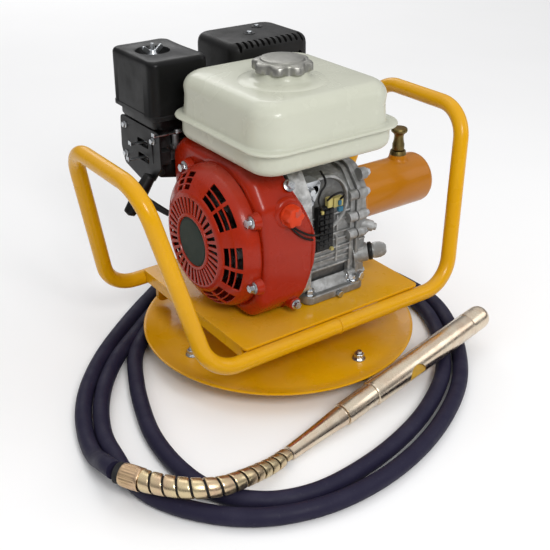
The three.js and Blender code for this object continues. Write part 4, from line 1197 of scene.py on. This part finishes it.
# the hose leaves the ferrule, comes down to the floor and then lies on it as (x, y)
HOSE_RISE = [(-361, -178, 12), (-362, -160, 8), (-360, -137, -2), (-357, -112, -12)]
HOSE_TURNS = [
    (-352, -84), (-337, -38), (-316, 4), (-287, 45), (-246, 90), (-190, 139), (-118, 194), (-60, 231),
    (10, 248), (85, 236), (155, 196), (215, 130), (246, 55), (255, -15), (248, -81), (220.5, -140.5),
    (180, -199), (125, -255), (58, -298), (-19, -330), (-99, -346), (-173, -344), (-232, -326),
    (-270, -302), (-302, -269), (-323, -237), (-336, -204), (-340, -164), (-336, -128), (-330, -87),
    (-316, -47), (-296, -8), (-270, 30), (-231, 73), (-178, 116), (-105, 172), (-50, 207), (12, 222),
    (78, 211), (140, 175), (193, 117), (222, 50), (230, -12), (225, -72), (205, -120.5), (170, -173),
    (122, -226), (60, -267), (-10, -297), (-92, -316), (-169, -319), (-217, -305), (-245, -285),
    (-265, -261), (-277, -233), (-283, -196), (-283, -155), (-277, -110), (-263, -61), (-242, -5),
    (-208, 62), (-162, 112), (-116, 150), (-76, 175), (-44, 187), (-12, 190),
]
HOSE_ROUTE = HOSE_RISE + [(x, y, LIE) for x, y in HOSE_TURNS]


def build_hose():
    line = smooth_path(HOSE_ROUTE, 14)
    bm = bmesh.new()
    sweep(bm, line, 11, 28)
    hose = piece("hose_looks", bm, HOSE, "base", "hose", angle=60)
    turn = Matrix.Rotation(-0.04, 4, "Z")
    bm = bmesh.new()
    spin(bm, [(0, FLOOR), (11.1, FLOOR), (12.6, -25), (12.6, -22), (11.9, -21), (11.9, -2), (10.8, 0),
              (10.8, 8), (10.2, 8.6), (10.2, 11), (10.8, 11.6), (10.8, 46), (8.6, 49), (8, 50), (8, 74),
              (6.6, 76.6), (5, 78), (0, 78)], "X", segments=48)
    end = piece("hose_connector_looks", bm, GOLD_DARK, "base", "hose_connector", at=(-10, 190, LIE),
                turn=turn)


# ---------------------------------------------------------------- poker and its spiral guard
START = Vector((-158, -243, -16.2))
END = Vector((233, -191, 24))
GUARD_PATH = [(-346.7, -206.8, 12.7), (-336, -223.8, 13), (-318, -246, 13.5), (-297, -263, 13),
              (-271, -272, 10.5), (-243, -271, 6.4), (-212, -262, -3.6), (-186, -253.2, -11),
              (-161.9, -243.5, -15.9)]
FLAT_TURN = math.radians(-18)          # the spanner flat faces a little upwards


def build_poker():
    axis = (END - START).normalized()
    long = (END - START).length
    pieces = [
        ("poker_shank_looks", "poker_shank", [(0, 0), (9, 0), (9.7, 0.8), (9.9, 10), (10.3, 24), (11, 42),
                                              (11.9, 60), (13, 80), (13.6, 92), (13.6, 95.2), (13.1, 96),
                                              (0, 96)]),
        ("poker_tube_looks", "poker_tube", [(13.5, 96.3), (15, 96.3), (15.5, 97), (15.5, 148.6),
                                            (15.1, 149.6), (15.1, 151.2), (16.6, 152), (17.4, 154),
                                            (17.5, 156), (17.5, long - 41.2), (17.1, long - 40),
                                            (13.5, long - 40)]),
        ("poker_cap_looks", "poker_cap", [(0, long - 39.7), (16.9, long - 39.7), (17.5, long - 39.1),
                                          (17.5, long - 14), (17.1, long - 9.6), (16, long - 6),
                                          (13.6, long - 3), (10, long - 0.9), (6, long - 0.1), (0, long)]),
    ]
    for name, node, profile in pieces:
        bm = bmesh.new()
        spin(bm, profile, axis, START, 96)
        obj = piece(name, bm, GOLD, "base", node, angle=35)
        if node == "poker_tube":
            # a spanner flat with a round end, milled into the lower near side
            cross = axis.cross(Vector((0, 0, 1))).normalized()
            up = cross.cross(axis)
            flat = cross * math.cos(FLAT_TURN) - up * math.sin(FLAT_TURN)
            down = axis.cross(flat)
            if down.z > 0:
                down = -down
            middle = START + axis * 228
            circle = [(16 * math.cos(TAU * k / 72), 10 + 16 * math.sin(TAU * k / 72)) for k in range(72)]
            cutter = bmesh.new()
            loft(cutter, [[middle + axis * p[0] + down * p[1] + flat * h for p in circle]
                          for h in (14.3, 30)])
            carve(obj, cutter)
            bm = bmesh.new()
            face = [(p[0] * 0.985, min(p[1] + 0.2, 9.9)) for p in circle]
            loft(bm, [[middle + axis * p[0] + down * p[1] + flat * h for p in face] for h in (13.9, 14.5)])
            piece("poker_spanner_flat", bm, FLAT_GOLD, "base")
    line = smooth_path(GUARD_PATH, 60)
    total = [0.0]
    for a, b in zip(line, line[1:]):
        total.append(total[-1] + (b - a).length)
    coils, steps = 14, 56
    frames = frames_along(line)

    def spot(share):
        d = max(0.0, min(1.0, share)) * total[-1]
        j = 0
        while j < len(total) - 2 and total[j + 1] < d:
            j += 1
        t = (d - total[j]) / max(total[j + 1] - total[j], 1e-6)
        return line[j].lerp(line[j + 1], t), frames[j], 13 + (9.8 - 13) * d / total[-1]

    # a dark core with a flat strip wound round it
    bm = bmesh.new()
    core = [spot(k / 60) for k in range(61)]
    sweep(bm, [c[0] for c in core], [c[2] - 2.6 for c in core], 32)
    piece("spiral_guard_core", bm, RUBBER, "base")
    bm = bmesh.new()
    width = 0.80 / coils
    section = [(-0.5, -2.9), (-0.5, -0.5), (-0.44, -0.1), (-0.36, 0), (0, 0.1), (0.36, 0), (0.44, -0.1),
               (0.5, -0.5), (0.5, -2.9)]
    rings = []
    for k in range(coils * steps - steps // 2):
        middle = 0.5 * width + (1 - width) * k / (coils * steps - steps // 2 - 1)
        a = TAU * k / steps
        ring = []
        for along, out in section:
            p, (_, u, v), r = spot(middle + along * width)
            ring.append(p + polar(u, v, a) * (r + out))
        rings.append(ring)
    loft(bm, rings)
    piece("spiral_guard_looks", bm, GUARD_METAL, "base", "spiral_guard", angle=35)
    a, b = Vector((-359.5, -183.5, 12)), Vector((-347.2, -205.9, 12.6))
    w = (b - a).normalized()
    u, v = frame_of(w)
    bm = bmesh.new()
    spin(bm, [(10.9, -0.6), (12.2, -0.6), (12.8, 0.4), (12.8, 6.4), (12.2, 7.4), (10.9, 7.4)], w, a, 64,
         closed=True)
    piece("ferrule_collar", bm, RUBBER, "base")
    rings = []
    profile = ((7, 11.2, 0), (7, 13.0, 0), (8, 13.5, 0), (10, 13.6, 0.12), (12, 13.7, 0.3),
               (20, 13.7, 0.36), (27, 13.7, 0.3), (29, 13.6, 0.1), (30, 14.0, 0), (32.4, 14.0, 0),
               (33, 13.5, 0), (33, 11.4, 0))
    for h, r, wave in profile:
        turns = [TAU * k / 144 for k in range(144)]
        rings.append([a + w * h + polar(u, v, t) * (r + wave * math.cos(24 * t)) for t in turns])
    bm = bmesh.new()
    loft(bm, rings)
    piece("ferrule_looks", bm, GOLD_DARK, "base", "ferrule", angle=50)


# ---------------------------------------------------------------- floor, light, plain CAD insides
def build_studio():
    bm = bmesh.new()
    for x, y in ((-6000, -6000), (6000, -6000), (6000, 6000), (-6000, 6000)):
        bm.verts.new((x * MM, y * MM, FLOOR * MM))
    bm.faces.new(bm.verts)
    mesh = bpy.data.meshes.new("floor")
    bm.to_mesh(mesh)
    bm.free()
    n = Nodes("floor_paper", (0.93, 0.93, 0.93), 0.9, 0.0)
    n.tint(n.ramp(n.noise(3, 3), 0.3, 0.8), (0.9, 0.9, 0.9), 0.5)
    mesh.materials.append(n.done())
    floor = bpy.data.objects.new("floor", mesh)
    bpy.context.scene.collection.objects.link(floor)
    world = bpy.data.worlds.new("studio")
    bpy.context.scene.world = world
    world.use_nodes = True
    # a bright ceiling that fades towards a darker horizon
    tree = world.node_tree
    sky = tree.nodes["Background"]
    sky.inputs["Strength"].default_value = 1.0
    where = tree.nodes.new("ShaderNodeTexCoord")
    parts = tree.nodes.new("ShaderNodeSeparateXYZ")
    ramp = tree.nodes.new("ShaderNodeValToRGB")
    tree.links.new(where.outputs["Generated"], parts.inputs[0])
    tree.links.new(parts.outputs["Z"], ramp.inputs["Fac"])
    tree.links.new(ramp.outputs["Color"], sky.inputs["Color"])
    stops = ramp.color_ramp.elements
    stops[0].position, stops[0].color = 0.25, (0.22, 0.22, 0.23, 1)
    stops[1].position, stops[1].color = 0.92, (0.88, 0.88, 0.88, 1)
    stops.new(0.6).color = (0.75, 0.75, 0.76, 1)
    middle = (0, 0, 0.15)
    # name, place, target, size, power
    lamps = (("key", (-0.5, -1.7, 1.5), middle, 0.6, 21), ("fill", (1.5, -0.9, 0.9), middle, 0.8, 3),
             ("top", (0.1, 0.5, 1.9), middle, 0.9, 3), ("far_floor", (1.2, 3.4, 2.2), (1.1, 2.7, 0), 2.0, 26))
    for name, where, target, size, power in lamps:
        light = bpy.data.objects.new(name, bpy.data.lights.new(name, "AREA"))
        light.data.size = size
        light.data.energy = power
        light.location = where
        light.rotation_euler = (Vector(target) - Vector(where)).to_track_quat("-Z", "Y").to_euler()
        bpy.context.scene.collection.objects.link(light)


def finish_insides():
    """The inner CAD nodes that stay as they are get real finishes."""
    looks = {
        "crankshaft": STEEL, "camshaft": STEEL, "piston": STEEL, "flywheel": ALU, "starter_cup": STEEL,
        "drive_dog": STEEL,
        "recoil_pulley": BLACK, "swivel_bushing": BRONZE, "air_filter": FOAM, "coupling_bearing": STEEL,
        "rotor_bearing": STEEL,
        "eccentric_rotor": STEEL, "lock_spring": STEEL,
    }
    for node, mat in looks.items():
        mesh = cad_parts[node].data
        mesh.materials.clear()
        mesh.materials.append(mat)


build_hose()
build_base()
build_frame()
build_block()
build_shroud()
build_tank()
build_intake()
build_small_parts()
build_coupling()
build_poker()
finish_insides()
build_studio()

bpy.context.scene.view_settings.view_transform = "Standard"
